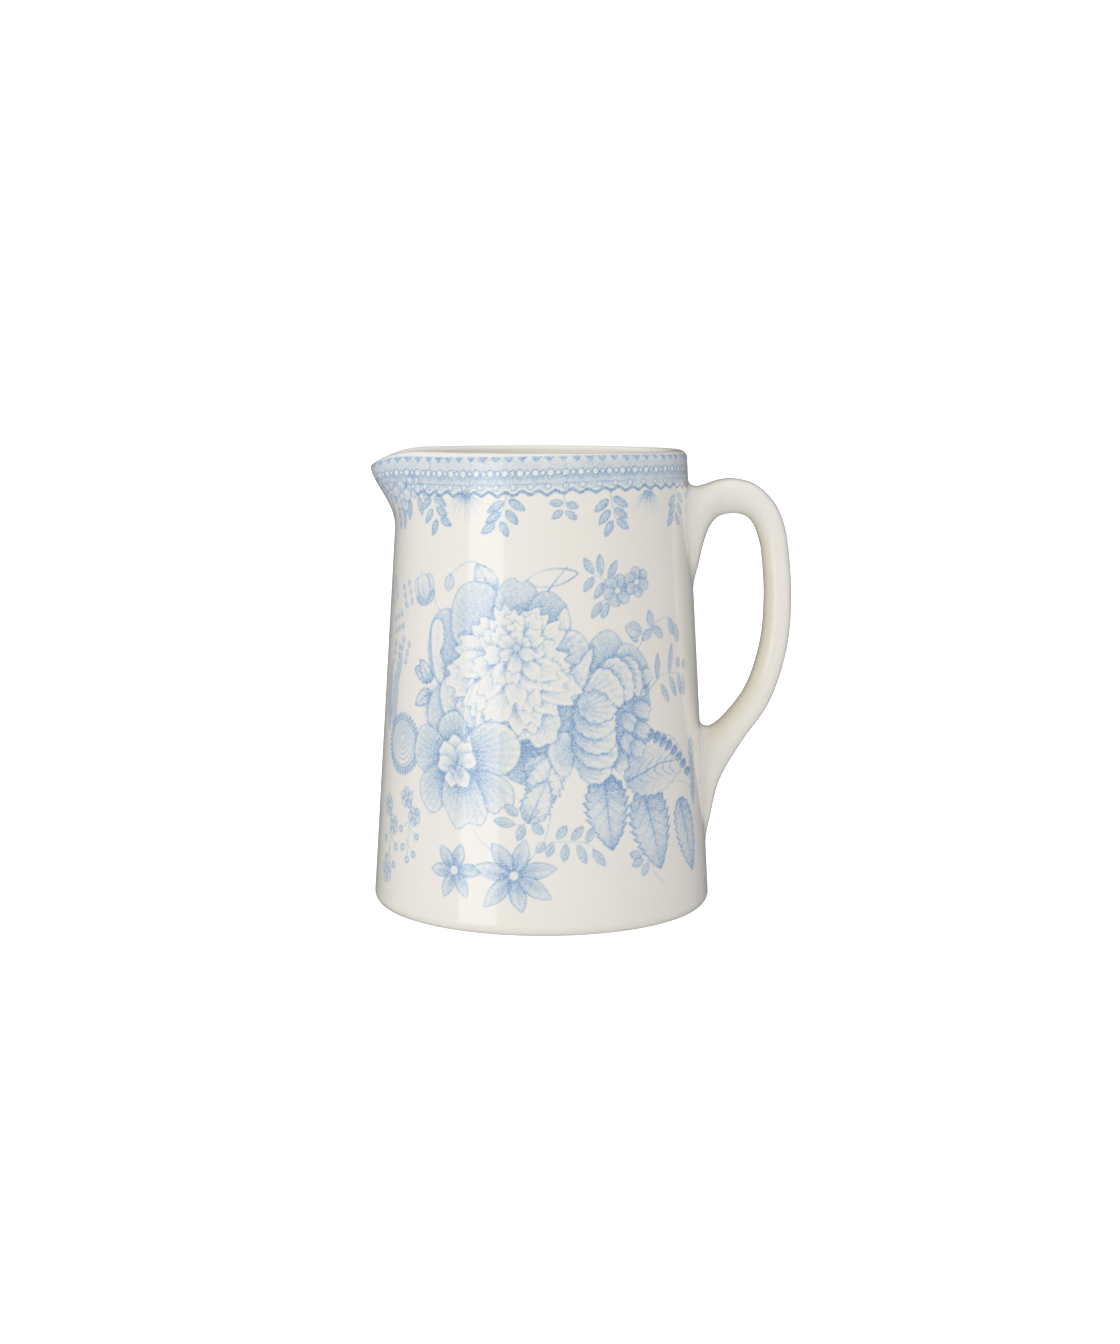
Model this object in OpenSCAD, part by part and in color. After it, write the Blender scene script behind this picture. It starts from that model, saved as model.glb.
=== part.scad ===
// Porcelain cream jug: a slip-cast china jug with a straight tapering body,
// a small drooping pouring lip at the rim and a loop handle opposite the lip.
// Millimetres. +Z is up, the jug stands on Z = 0, the body axis is the Z axis,
// the lip points to -X and the handle to +X.

/* [Body] */
// Height of the rim above the table
body_height = 102; // [80:1:130]
// Diameter of the wall where it would meet the table
base_diameter = 76.2; // [60:0.2:100]
// Diameter of the wall at the rim
rim_diameter = 64; // [50:0.2:90]
// Thickness of the cast wall
wall = 3.2; // [2.6:0.1:5]
// Thickness of the floor above the recess
floor_thickness = 3.6; // [2.5:0.1:7]
// Radius of the curve between the floor and the wall, inside
floor_curve = 7; // [2:0.5:12]

/* [Foot] */
// Radius of the rounded outer edge at the table
foot_round = 2.2; // [1:0.1:4]
// Width of the flat ring that the jug stands on
foot_ring = 3.4; // [2:0.1:6]
// Depth of the hollow under the floor
foot_recess = 1.8; // [1:0.1:3]

/* [Rim and lip] */
// Radius of the rim's outer rounding, the inner one takes the rest of the wall
rim_round = 1.9; // [1:0.1:2.2]
// How far the lip reaches out past the wall
lip_reach = 6.5; // [3:0.1:10]
// How far the lip's edge droops below the rim
lip_droop = 3; // [0:0.1:5]
// Height of the part of the wall that swells into the lip
lip_height = 18; // [10:0.5:30]
// Half of the angle over which the lip swells out
lip_half_angle = 50; // [30:1:60]
// Half of the angle over which the lip's edge droops
droop_half_angle = 37; // [25:1:60]

/* [Handle] */
// Reach of the handle from the wall to its outermost edge
handle_reach = 21.9; // [17:0.1:28]
// Height of the top of the handle
handle_top = 95.7; // [80:0.1:100]
// Half of the width of the strap, across the view
handle_half_width = 4.6; // [3.5:0.1:6]
// Roundness of the strap's section, 2 is an ellipse and more is squarer
handle_squareness = 2.35; // [2:0.05:4]

/* [Finish] */
// Glaze colour of the body
body_colour = "#ebe7dc";
// Glaze colour of the handle
handle_colour = "#e9e5d8";

/* [Hidden] */
$fn = 96;
base_r = base_diameter / 2;
rim_r = rim_diameter / 2;
lean = (base_r - rim_r) / body_height;
rim_round_in = wall - rim_round;
lip_foot = body_height - lip_height;
// The lip's own wall lies this far inside the plain wall's skin where the two overlap.
lip_inset = 0.05;
// The lip's own wall goes this many degrees and millimetres past the notch cut for it.
lip_lap = 1.5;
lip_steps = 40;
handle_steps = 4;
section_points = 24;
// Heights and reaches of the handle are given for this top and this reach.
handle_drawn_top = 95.7;
handle_drawn_reach = 21.9;

// Stations along the handle from the upper root to the lower one:
// inner edge's stand-off from the wall and height, outer edge's stand-off and height,
// and the width there as a multiple of the strap's width.
STATIONS = [
  [-3.1, 68.0, -2.0, 93.6, 1.72],
  [-0.2, 72.0, 1.1, 93.8, 1.64],
  [1.4, 76.6, 2.7, 94.1, 1.50],
  [2.5, 80.6, 4.4, 94.6, 1.35],
  [3.9, 84.2, 6.1, 95.2, 1.22],
  [6.0, 86.9, 7.9, 95.6, 1.11],
  [8.9, 87.8, 10.2, 95.7, 1.04],
  [12.0, 87.5, 14.2, 94.8, 1.01],
  [14.0, 85.7, 17.4, 92.4, 1],
  [15.1, 82.6, 20.1, 88.4, 1],
  [15.7, 78.6, 21.6, 81.6, 1],
  [15.8, 69.4, 21.9, 69.4, 1],
  [14.5, 59.2, 20.4, 57.6, 1],
  [10.9, 49.2, 16.0, 45.6, 1.01],
  [5.6, 42.3, 9.0, 36.0, 1.10],
  [1.9, 39.6, 3.8, 27.6, 1.27],
  [-0.4, 39.6, 1.2, 18.8, 1.30],
  [-1.7, 39.8, -0.1, 14.0, 1.18],
  [-3.7, 40.0, -2.6, 8.0, 0.95]
];

// Radius of the outer wall at a height.
function wall_r(z) = base_r - lean * z;

// Points of a quarter turn, from one angle to another, about a centre.
function arc(cr, cz, r, from, to, n) =
  [for (i = [0:n]) let (a = from + (to - from) * i / n) [cr + r * cos(a), cz + r * sin(a)]];

// Outer skin from the foot's rounded edge to the top of the rim.
function outer_points() = concat(
  arc(wall_r(foot_round) - foot_round, foot_round, foot_round, -90, 0, 8),
  arc(wall_r(body_height - rim_round) - rim_round, body_height - rim_round, rim_round, 0, 90, 8)
);

// Inner skin from the top of the rim down to the middle of the floor.
function inner_points() = concat(
  arc(
    wall_r(body_height - rim_round_in) - wall + rim_round_in,
    body_height - rim_round_in, rim_round_in, 90, 180, 6
  ),
  arc(
    wall_r(foot_recess + floor_thickness + floor_curve) - wall - floor_curve,
    foot_recess + floor_thickness + floor_curve, floor_curve, 0, -90, 8
  ),
  [[0, foot_recess + floor_thickness]]
);

// The flat ring and the hollow under the floor, from the axis outwards.
function foot_points() = let (edge = wall_r(foot_round) - foot_round) [
  [0, foot_recess],
  [edge - foot_ring - 1.6, foot_recess],
  [edge - foot_ring - 0.3, foot_recess - 0.6],
  [edge - foot_ring, 0]
];

// The jug's outside filled solid, which also trims the handle's two roots.
module outer_form() {
  rotate_extrude()
    polygon(concat([[0, 0]], outer_points(), [[0, body_height]]));
}

// The plain hollow body, all of it turned about the axis.
module turned_body() {
  rotate_extrude()
    polygon(concat(foot_points(), outer_points(), inner_points()));
}

// The sector of the upper wall that gives way to the lip.
module lip_notch() {
  far = 2 * base_r;
  side = far * tan(lip_half_angle);
  translate([0, 0, lip_foot])
    linear_extrude(height = 2 * lip_height)
      polygon([[0, 0], [-far, side], [-far, -side]]);
}

// A smooth step from 0 to 1.
function ease(t) = let (u = max(0, min(1, t))) u * u * (3 - 2 * u);

// A smooth hump: 1 at the lip's middle, 0 from the angle half outwards, narrower for a higher power.
function hump(a, half, power) = abs(a) >= half ? 0 : pow(0.5 + 0.5 * cos(180 * a / half), power);

// How much of it there is at a height.
function lip_rise(z) = let (u = max(0, (z - lip_foot) / lip_height)) ease(pow(u, 1.1));

// The lip's wall section, a loop up the outside, over the rim and down the inside.
function lip_loop() = let (
  low = lip_foot - lip_lap,
  e = lip_inset,
  out_top = body_height - rim_round,
  in_top = body_height - rim_round_in
) concat(
  [for (i = [0:9]) let (z = low + (out_top - low) * i / 10) [wall_r(z) - e, z]],
  arc(wall_r(out_top) - rim_round, out_top, rim_round - e, 0, 90, 6),
  arc(wall_r(in_top) - wall + rim_round_in, in_top, rim_round_in - e, 100, 180, 4),
  [for (i = [1:10]) let (z = in_top - (in_top - low) * i / 10) [wall_r(z) - wall + e, z]]
);

// One point of the lip, swollen outwards and drooped.
function lip_point(p, a) = let (
  share = hump(a, lip_half_angle, 1.1) * lip_rise(p[1]),
  r = p[0] + lip_reach * share,
  droop = lip_droop * hump(a, min(droop_half_angle, lip_half_angle), 1.6)
    * pow(max(0, (p[1] - lip_foot) / lip_height), 1.3)
) [-r * cos(a), -r * sin(a), p[1] - droop];

// The wall of the pouring lip, which fills the notch and laps into the wall around it.
module lip_wall() {
  loop = lip_loop();
  m = len(loop);
  reach = lip_half_angle + lip_lap;
  points = [
    for (i = [0:lip_steps]) let (a = -reach + 2 * reach * i / lip_steps)
      for (p = loop) lip_point(p, a)
  ];
  sides = [
    for (i = [0:lip_steps - 1])
      for (j = [0:m - 1])
        let (k = (j + 1) % m)
          each [
            [i * m + j, i * m + k, (i + 1) * m + j],
            [i * m + k, (i + 1) * m + k, (i + 1) * m + j]
          ]
  ];
  first = [for (j = [0:m - 1]) m - 1 - j];
  last = [for (j = [0:m - 1]) lip_steps * m + j];
  polyhedron(points = points, faces = concat(sides, [first], [last]), convexity = 6);
}

// The jug's body: wall, floor, foot ring and pouring lip, cast in one piece.
module jug_body() {
  color(body_colour)
    union() {
      difference() {
        turned_body();
        lip_notch();
      }
      lip_wall();
    }
}

// A station moved out to the handle's real reach and height.
function placed(s) = let (
  k = handle_reach / handle_drawn_reach,
  h = handle_top / handle_drawn_top,
  zi = s[1] * h,
  zo = s[3] * h
) [wall_r(zi) + s[0] * k, zi, wall_r(zo) + s[2] * k, zo, s[4] * handle_half_width];

// A smooth curve through four neighbouring stations.
function between(a, b, c, d, t) =
  0.5 * (2 * b + (c - a) * t + (2 * a - 5 * b + 4 * c - d) * t * t
  + (3 * b - a - 3 * c + d) * t * t * t);

function station(list, i) = list[max(0, min(len(list) - 1, i))];

// All stations, with extra ones between them.
function fine_stations(list) = [
  for (i = [0:len(list) - 2])
    for (j = [0:handle_steps - 1])
      between(
        station(list, i - 1), station(list, i), station(list, i + 1), station(list, i + 2),
        j / handle_steps
      ),
  list[len(list) - 1]
];

// A cosine or sine pulled towards a rounded square.
function squared(v) = sign(v) * pow(abs(v), 2 / handle_squareness);

// One section of the strap, widest a little outside its middle.
function section(s) = [
  for (i = [0:section_points - 1])
    let (
      a = 360 * i / section_points,
      c = squared(cos(a)),
      q = c + 0.2 * (1 - c * c)
    )
      [
        (s[0] + s[2]) / 2 + q * (s[2] - s[0]) / 2,
        s[4] * squared(sin(a)),
        (s[1] + s[3]) / 2 + q * (s[3] - s[1]) / 2
      ]
];

// The strap as a solid whose ends run into the body.
module strap() {
  list = fine_stations([for (s = STATIONS) placed(s)]);
  m = section_points;
  last_ring = len(list) - 1;
  points = [for (s = list) each section(s)];
  sides = [
    for (i = [0:last_ring - 1])
      for (j = [0:m - 1])
        let (k = (j + 1) % m)
          each [
            [i * m + j, (i + 1) * m + j, i * m + k],
            [i * m + k, (i + 1) * m + j, (i + 1) * m + k]
          ]
  ];
  first = [for (j = [0:m - 1]) j];
  last = [for (j = [0:m - 1]) last_ring * m + m - 1 - j];
  polyhedron(points = points, faces = concat(sides, [first], [last]), convexity = 6);
}

// The handle: a plain strap cast apart, with both roots cut to sit on the wall.
module handle() {
  color(handle_colour)
    difference() {
      strap();
      outer_form();
    }
}

jug_body();
handle();
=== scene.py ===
"""Looks of the porcelain cream jug: a creamy glazed china body and handle, and a blue print painted in code.

Millimetres while building, metres in the mesh. +Z up, the lip towards -X, the handle towards +X.
Angles round the jug are in degrees from -Y, growing towards the handle.
"""

import math

import bpy
import numpy as np
from mathutils import Matrix


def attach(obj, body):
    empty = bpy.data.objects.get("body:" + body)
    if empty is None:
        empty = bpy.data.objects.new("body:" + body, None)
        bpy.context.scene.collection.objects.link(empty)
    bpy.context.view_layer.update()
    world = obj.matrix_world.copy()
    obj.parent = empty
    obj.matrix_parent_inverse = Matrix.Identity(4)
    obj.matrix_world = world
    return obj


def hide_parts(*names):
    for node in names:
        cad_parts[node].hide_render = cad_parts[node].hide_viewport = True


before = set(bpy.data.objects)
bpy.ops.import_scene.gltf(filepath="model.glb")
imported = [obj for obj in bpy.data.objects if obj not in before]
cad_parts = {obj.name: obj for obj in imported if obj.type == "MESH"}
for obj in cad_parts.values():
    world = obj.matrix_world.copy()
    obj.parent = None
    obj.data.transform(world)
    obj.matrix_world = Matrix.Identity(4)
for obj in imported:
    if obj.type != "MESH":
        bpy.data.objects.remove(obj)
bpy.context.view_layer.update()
MM = 0.001

# The jug's form, as in the CAD part
BASE_R, RIM_R, HEIGHT = 38.1, 32.0, 102.0
WALL = 3.2
FLOOR = 3.6
FLOOR_CURVE = 7.0
FOOT_ROUND = 2.2
FOOT_RING = 3.4
FOOT_RECESS = 1.8
RIM_ROUND = 1.9
RIM_ROUND_IN = WALL - RIM_ROUND
LIP_REACH, LIP_DROOP, LIP_HEIGHT = 6.5, 3.0, 18.0
LIP_HALF_ANGLE, DROOP_HALF_ANGLE = 50.0, 37.0

# The printed skin is a grid of this many columns and of rows this far apart
COLS = 960
COARSE = 240
PITCH = 0.24
PRINT_TOP = 101.75
SOFT = 0.26
SHADE_REACH = 1.5
SLOPE = (BASE_R - RIM_R) / HEIGHT
# Where the front and back of the print stand, and the garlands between them, in degrees
SIDES = (0, 180)
BETWEEN_SIDES = (-90, 90)
PETAL_SEED, GRAIN_SEED, CLOUD_SEED = 7, 11, 12
OUTLINE_STEPS, STEM_STEPS = 7, 10


# ---------------------------------------------------------------- the print


def wall_r(z):
    return BASE_R - SLOPE * z


class Canvas:
    """The printed wall rolled flat: a grid of ink from 0 to 1, by angle and height."""

    def __init__(self):
        self.rows = int(round((PRINT_TOP - FOOT_ROUND) / PITCH)) + 1
        self.z = np.linspace(FOOT_ROUND, PRINT_TOP, self.rows)
        self.deg = np.arange(COLS) * 360.0 / COLS
        self.ink = np.zeros((self.rows, COLS))
        self.rng = np.random.default_rng(PETAL_SEED)
        self.turn = 0  # degrees by which what is drawn is turned round the jug
        self.grain = self.soft_noise(1.0, GRAIN_SEED)
        self.cloud = self.soft_noise(6.0, CLOUD_SEED)

    def soft_noise(self, reach, seed):
        """Smooth noise from -1 to 1 with blots of about reach grid steps, the same every run."""
        rng = np.random.default_rng(seed)
        f = np.fft.rfft2(rng.standard_normal((self.rows, COLS)))
        ky = np.fft.fftfreq(self.rows)[:, None]
        kx = np.fft.rfftfreq(COLS)[None, :]
        out = np.fft.irfft2(f * np.exp(-((kx * kx + ky * ky) * (math.pi * reach) ** 2)), (self.rows, COLS))
        return np.clip(out / (2.2 * out.std()), -1, 1)

    def window(self, deg, z, reach):
        """Indices of the part of the grid around a point, and its coordinates from there in mm."""
        deg = deg + self.turn
        half = math.degrees(reach / wall_r(z)) * 1.06
        c0 = math.floor((deg - half) * COLS / 360)
        c1 = math.ceil((deg + half) * COLS / 360)
        cols = np.arange(c0, min(c1, c0 + COLS - 1) + 1)
        rows = np.nonzero(np.abs(self.z - z) <= reach)[0]
        y = (self.z[rows] - z)[:, None]
        x = np.radians(cols * 360.0 / COLS - deg)[None, :] * wall_r(self.z[rows])[:, None]
        return np.ix_(rows, cols % COLS), x, y + 0 * x

    def cover(self, at, mask, tone):
        self.ink[at] = self.ink[at] * (1 - mask) + tone * mask

    def add(self, at, mask, tone=1.0):
        self.ink[at] = 1 - (1 - self.ink[at]) * (1 - np.clip(tone * mask, 0, 1))

    def shade_under(self, at, d, tone):
        """Darkens what is already printed close around a shape that will cover it."""
        near = np.clip(1 + d / SHADE_REACH, 0, 1) ** 2
        self.add(at, near * np.clip(self.ink[at] * 7 - 0.3, 0, 1), tone)


def edge(d):
    """1 well inside a shape, 0 outside it, soft in between."""
    return np.clip(d / SOFT + 0.5, 0, 1)


def line(d, width):
    return np.clip((width / 2 - np.abs(d)) / SOFT + 0.5, 0, 1)


def even(d, x, y):
    """A distance scaled so that it grows by a millimetre per millimetre everywhere."""
    gy, gx = np.gradient(d)
    step_x = np.maximum(np.abs(np.gradient(x, axis=1)), 1e-6)
    step_y = np.maximum(np.abs(np.gradient(y, axis=0)), 1e-6)
    return d / np.clip(np.hypot(gx / step_x, gy / step_y), 0.8, 6)


def turned(x, y, angle, bend=0.0, length=1.0):
    """Coordinates along and across a direction, the shape bending to its left by bend of its length."""
    a = math.radians(angle)
    u = x * math.cos(a) + y * math.sin(a)
    v = -x * math.sin(a) + y * math.cos(a)
    if bend:
        v = v - bend * length * (u / length) ** 2
    return u, v


def spindle(u, v, length, width, a, b, teeth=0, bite=0.0):
    """Distance inside a leaf or petal outline: widest at a / (a + b) of its length."""
    t = np.clip(u / length, 0, 1)
    peak = (a / (a + b)) ** a * (b / (a + b)) ** b
    half = width / 2 * t ** a * (1 - t) ** b / peak
    if teeth:
        half = half * (1 - bite * np.abs(((t * teeth) % 1.0)))
    out = np.hypot(np.maximum(np.maximum(-u, u - length), 0), v)
    return np.where((u > 0) & (u < length), half - np.abs(v), -out), t


def leaf(c, deg, z, angle, length, width, tone=0.36, rim=0.62, vein=0.5, a=0.85, b=0.9, bend=0.0, rim_w=0.26):
    """A small smooth leaf: an outline, a paler body that darkens to one side and to its tip, and a middle vein."""
    at, x, y = c.window(deg, z, length * 1.15 + 0.6)
    u, v = turned(x, y, angle, bend, length)
    d, t = spindle(u, v, length, width, a, b)
    d = even(d, x, y)
    shade = tone * (0.35 + 0.6 * np.clip(v / width + 0.5, 0, 1) + 0.45 * t) + 0.10 * c.grain[at]
    c.cover(at, edge(d), np.clip(shade, 0, 1))
    c.add(at, line(d, rim_w), rim * (0.9 + 0.25 * c.cloud[at]))
    if vein:
        c.add(at, line(v, 0.16) * edge(d) * np.clip(1.2 - t, 0, 1), vein)


def leaves(c, rows, width, tone=0.40, rim=0.62, **more):
    """Small leaves of one width, given as angle round the jug, height, direction and length."""
    for deg, z, angle, length in rows:
        leaf(c, deg, z, angle, length, width, tone, rim, **more)


def veined_leaf(c, deg, z, angle, length, width, tone=0.34, teeth=9, bend=0.0, dark=0.8, ribs=6, base=0.45):
    """A broad leaf with a saw edge: dark at its foot and round its teeth, paler between the ribs."""
    at, x, y = c.window(deg, z, length * 1.12 + 0.6)
    u, v = turned(x, y, angle, bend, length)
    d, t = spindle(u, v, length, width, 0.55, 0.85, teeth, 0.20)
    d = even(d, x, y)
    inside = edge(d)
    k = (t * 1.05 - np.abs(v) / width * 0.60) * ribs
    rib = np.clip(1 - np.abs(k % 1.0 - 0.5) * 8, 0, 1) * np.clip(1.25 - np.abs(v) / (0.4 * width), 0, 1)
    fine = 0.5 + 0.5 * np.sin((u * 0.8 - np.abs(v) * 0.75) * 2 * math.pi / 0.8)
    rimward = np.exp(-np.clip(d, 0, 9) / (0.11 * width))
    midward = np.exp(-np.abs(v) / (0.10 * width))
    side = np.where(v > 0, 1.3, 0.55)
    foot = base * np.clip(1 - t * 2.2, 0, 1) * (0.5 + 0.5 * side)
    shade = tone * (0.15 + 1.25 * rimward * side + 0.8 * midward) + foot
    shade = shade + 0.30 * tone * fine + 0.10 * c.grain[at] + 0.2 * np.clip(t * 3 - 2.2, 0, 1)
    c.shade_under(at, d, 0.4)
    c.cover(at, inside, np.clip(shade, 0.03, 1))
    c.add(at, rib * inside * np.clip(1.15 - t, 0, 1), 0.70 * dark)
    c.add(at, line(v, 0.34) * inside * np.clip(1.15 - t, 0.1, 1), dark)
    c.add(at, line(d - 0.1, 0.36), dark * (0.8 + 0.3 * c.cloud[at]))


def petal(c, deg, z, angle, length, width, tone=0.22, rim=0.62, start=0.0, notch=0.0, ruffle=0.0,
          waves=5, root=0.5, phase=0.0, bend=0.0, a=0.5, b=0.42, streak=0.12, root_len=0.3, rim_w=0.22, under=0.35):
    """A petal, covering what lies under it: shaded at its root, streaked along it, pale at its edge."""
    reach = (length + start) * 1.15 + 0.8
    at, x, y = c.window(deg, z, reach)
    u, v = turned(x, y, angle, bend, length + start)
    u = u - start
    across = v / (width / 2)
    stretch = 1.0
    if notch:
        stretch = stretch - notch * np.exp(-(across / 0.28) ** 2)
    if ruffle:
        stretch = stretch + ruffle * np.cos(across * waves * 1.5 + phase)
    d, t = spindle(u / stretch, v, length, width, a, b)
    d = even(d, x, y)
    inside = edge(d)
    fan = np.arctan2(v, u + 0.35 * length)
    lines = 0.5 + 0.5 * np.sin(fan * 2 * math.pi * (width / 0.85) / 1.6 + phase * 3)
    deep = np.exp(-t / root_len)
    shade = tone + root * deep + streak * lines * np.clip(1.0 - t, 0, 1) * 1.4
    shade = shade - 0.10 * np.exp(-((d - 0.7) / 0.5) ** 2) + 0.07 * c.grain[at]
    c.shade_under(at, d, under)
    c.cover(at, inside, np.clip(shade, 0.02, 1))
    c.add(at, line(d, rim_w), rim * (0.85 + 0.30 * c.cloud[at]))


def between(p0, p1, p2, p3, s):
    """A point of the smooth curve from p1 to p2, between its neighbours."""
    return 0.5 * (2 * p1 + (p2 - p0) * s + (2 * p0 - 5 * p1 + 4 * p2 - p3) * s * s
                  + (3 * p1 - p0 - 3 * p2 + p3) * s ** 3)


def through(points, steps):
    """An open smooth curve through the points."""
    p = np.array(points, float)
    p = np.vstack([p[:1], p, p[-1:]])
    return np.array([between(*p[i:i + 4], k / steps) for i in range(len(p) - 3) for k in range(steps)] + [p[-1]])


def outline(points):
    """A closed smooth curve through the points; a point given twice makes a sharp corner."""
    p = np.array(points, float)
    n = len(p)
    out = []
    for i in range(n):
        p0, p1, p2, p3 = p[i - 1], p[i], p[(i + 1) % n], p[(i + 2) % n]
        if np.array_equal(p1, p2):
            continue
        out += [between(p0, p1, p2, p3, k / OUTLINE_STEPS) for k in range(OUTLINE_STEPS)]
    return np.array(out)


def shape(c, points, root, tone=0.15, dark=0.6, fade=5.0, rim=0.50, hatch=0.08, scallop=0.0, wave=2.4,
          under=0.5, saw=0.0, spacing=0.85):
    """A petal or leaf of any outline, given as angle and height.

    It is dark at its root, hatched away from it and pale at its edge.
    """
    ring = outline(points)
    mid = (ring.min(0) + ring.max(0)) / 2
    half = (ring.max(0) - ring.min(0)) / 2
    reach = max(math.radians(half[0]) * wall_r(mid[1]), half[1]) + 1.6
    at, x, y = c.window(mid[0], mid[1], reach)
    px, py = np.radians(ring[:, 0] - mid[0]) * wall_r(ring[:, 1]), ring[:, 1] - mid[1]
    ex, ey = np.roll(px, -1) - px, np.roll(py, -1) - py
    run = np.hypot(ex, ey)
    start = np.r_[0, np.cumsum(run)[:-1]]
    wave = run.sum() / max(1, round(run.sum() / wave))
    best, along, inside = np.full(x.shape, 99.0), np.zeros(x.shape), np.zeros(x.shape, bool)
    for i in range(len(px)):
        k = np.clip(((x - px[i]) * ex[i] + (y - py[i]) * ey[i]) / max(run[i] ** 2, 1e-9), 0, 1)
        far = np.hypot(x - px[i] - k * ex[i], y - py[i] - k * ey[i])
        closer = far < best
        best = np.where(closer, far, best)
        along = np.where(closer, start[i] + k * run[i], along)
        if abs(ey[i]) > 1e-9:
            crossed = ((py[i] > y) != (py[i] + ey[i] > y)) & (x < ex[i] * (y - py[i]) / ey[i] + px[i])
            inside ^= crossed
    d = np.where(inside, best, -best)
    if scallop:
        d = d + scallop * (np.abs(np.sin(math.pi * along / wave)) - 0.8)
    if saw:
        d = d + saw * ((along / wave) % 1.0 - 0.6)
    rx, ry = math.radians(root[0] - mid[0]) * wall_r(root[1]), root[1] - mid[1]
    far = np.hypot(x - rx, y - ry)
    back = np.array([rx, ry]) * 0.45
    fan = np.arctan2(y - ry - back[1], x - rx - back[0])
    count = round(0.8 * reach / spacing)
    lines = 0.5 + 0.5 * np.sin(fan * 2 * math.pi * count)
    hatch = hatch * np.clip((np.hypot(x - rx - back[0], y - ry - back[1]) / count - 0.45) / 0.3, 0, 1)
    deep = np.exp(-far / fade)
    shade = tone + dark * deep + hatch * (lines - 0.4) * (0.6 + deep) + 0.10 * c.grain[at]
    shade = shade - 0.06 * np.exp(-((d - 0.7) / 0.5) ** 2)
    c.shade_under(at, d, under)
    c.cover(at, edge(d), np.clip(shade, 0.02, 1))
    c.add(at, line(d, 0.28), rim * (0.9 + 0.35 * c.cloud[at]))


def disc(c, deg, z, radius, tone, rim=0.0, rim_w=0.2):
    at, x, y = c.window(deg, z, radius + 0.8)
    d = radius - np.hypot(x, y)
    c.cover(at, edge(d), tone)
    if rim:
        c.add(at, line(d, rim_w), rim)


def blot(c, deg, z, rx, ry, tone):
    """A soft dark patch, for the gaps between flowers."""
    at, x, y = c.window(deg, z, max(rx, ry) * 1.6)
    k = np.hypot(x / rx, y / ry)
    c.add(at, np.clip(1.35 - k, 0, 1) * (0.85 + 0.3 * c.grain[at]), tone)


def stem(c, points, width=0.3, tone=0.6):
    """A smooth stroke through points given as angle and height, thinning towards its end."""
    path = through(points, STEM_STEPS)
    mid = (path.min(0) + path.max(0)) / 2
    span = (path.max(0) - path.min(0)) / 2
    reach = max(math.radians(span[0]) * wall_r(mid[1]), span[1]) + 1.0
    at, x, y = c.window(mid[0], mid[1], reach)
    r = wall_r(mid[1])
    px, py = np.radians(path[:, 0] - mid[0]) * r, path[:, 1] - mid[1]
    best = np.full(x.shape, 9.0)
    for i in range(len(px) - 1):
        ex, ey = px[i + 1] - px[i], py[i + 1] - py[i]
        n = max(ex * ex + ey * ey, 1e-9)
        t = np.clip(((x - px[i]) * ex + (y - py[i]) * ey) / n, 0, 1)
        w = width * (1 - 0.45 * (i + t) / len(px))
        best = np.minimum(best, np.hypot(x - px[i] - t * ex, y - py[i] - t * ey) - w / 2)
    c.add(at, np.clip(-best / SOFT + 0.5, 0, 1), tone)


def daisy(c, deg, z, radius, count, angle=0.0, tone=0.34, pointed=False, wide=1.0, rim=0.62, eye=0.2, gap=0.14):
    """A small open flower of equal petals round an eye."""
    for i in range(count):
        a = angle + 360 * i / count
        w = radius * 1.5 * math.sin(math.pi / count) * wide
        if pointed:
            size = c.rng.uniform(0.86, 1.08)
            petal(c, deg, z, a + c.rng.uniform(-5, 5), radius * (1 - gap) * size, w, tone, rim, start=radius * gap,
                  root=0.45, a=0.80, b=0.95, streak=0.24, bend=c.rng.uniform(-0.12, 0.12))
        else:
            petal(c, deg, z, a, radius * (1 - gap), w, tone, rim, start=radius * gap, root=0.25, a=0.5, b=0.46,
                  streak=0.08)
    disc(c, deg, z, radius * eye, 0.08, rim)


# The lace band: the mean height of its top edge, and how far below that edge each row lies
BAND_TOP = 101.2
BEADS, LOOPS, WAVE = 3.6, 6.05, 7.95


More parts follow.
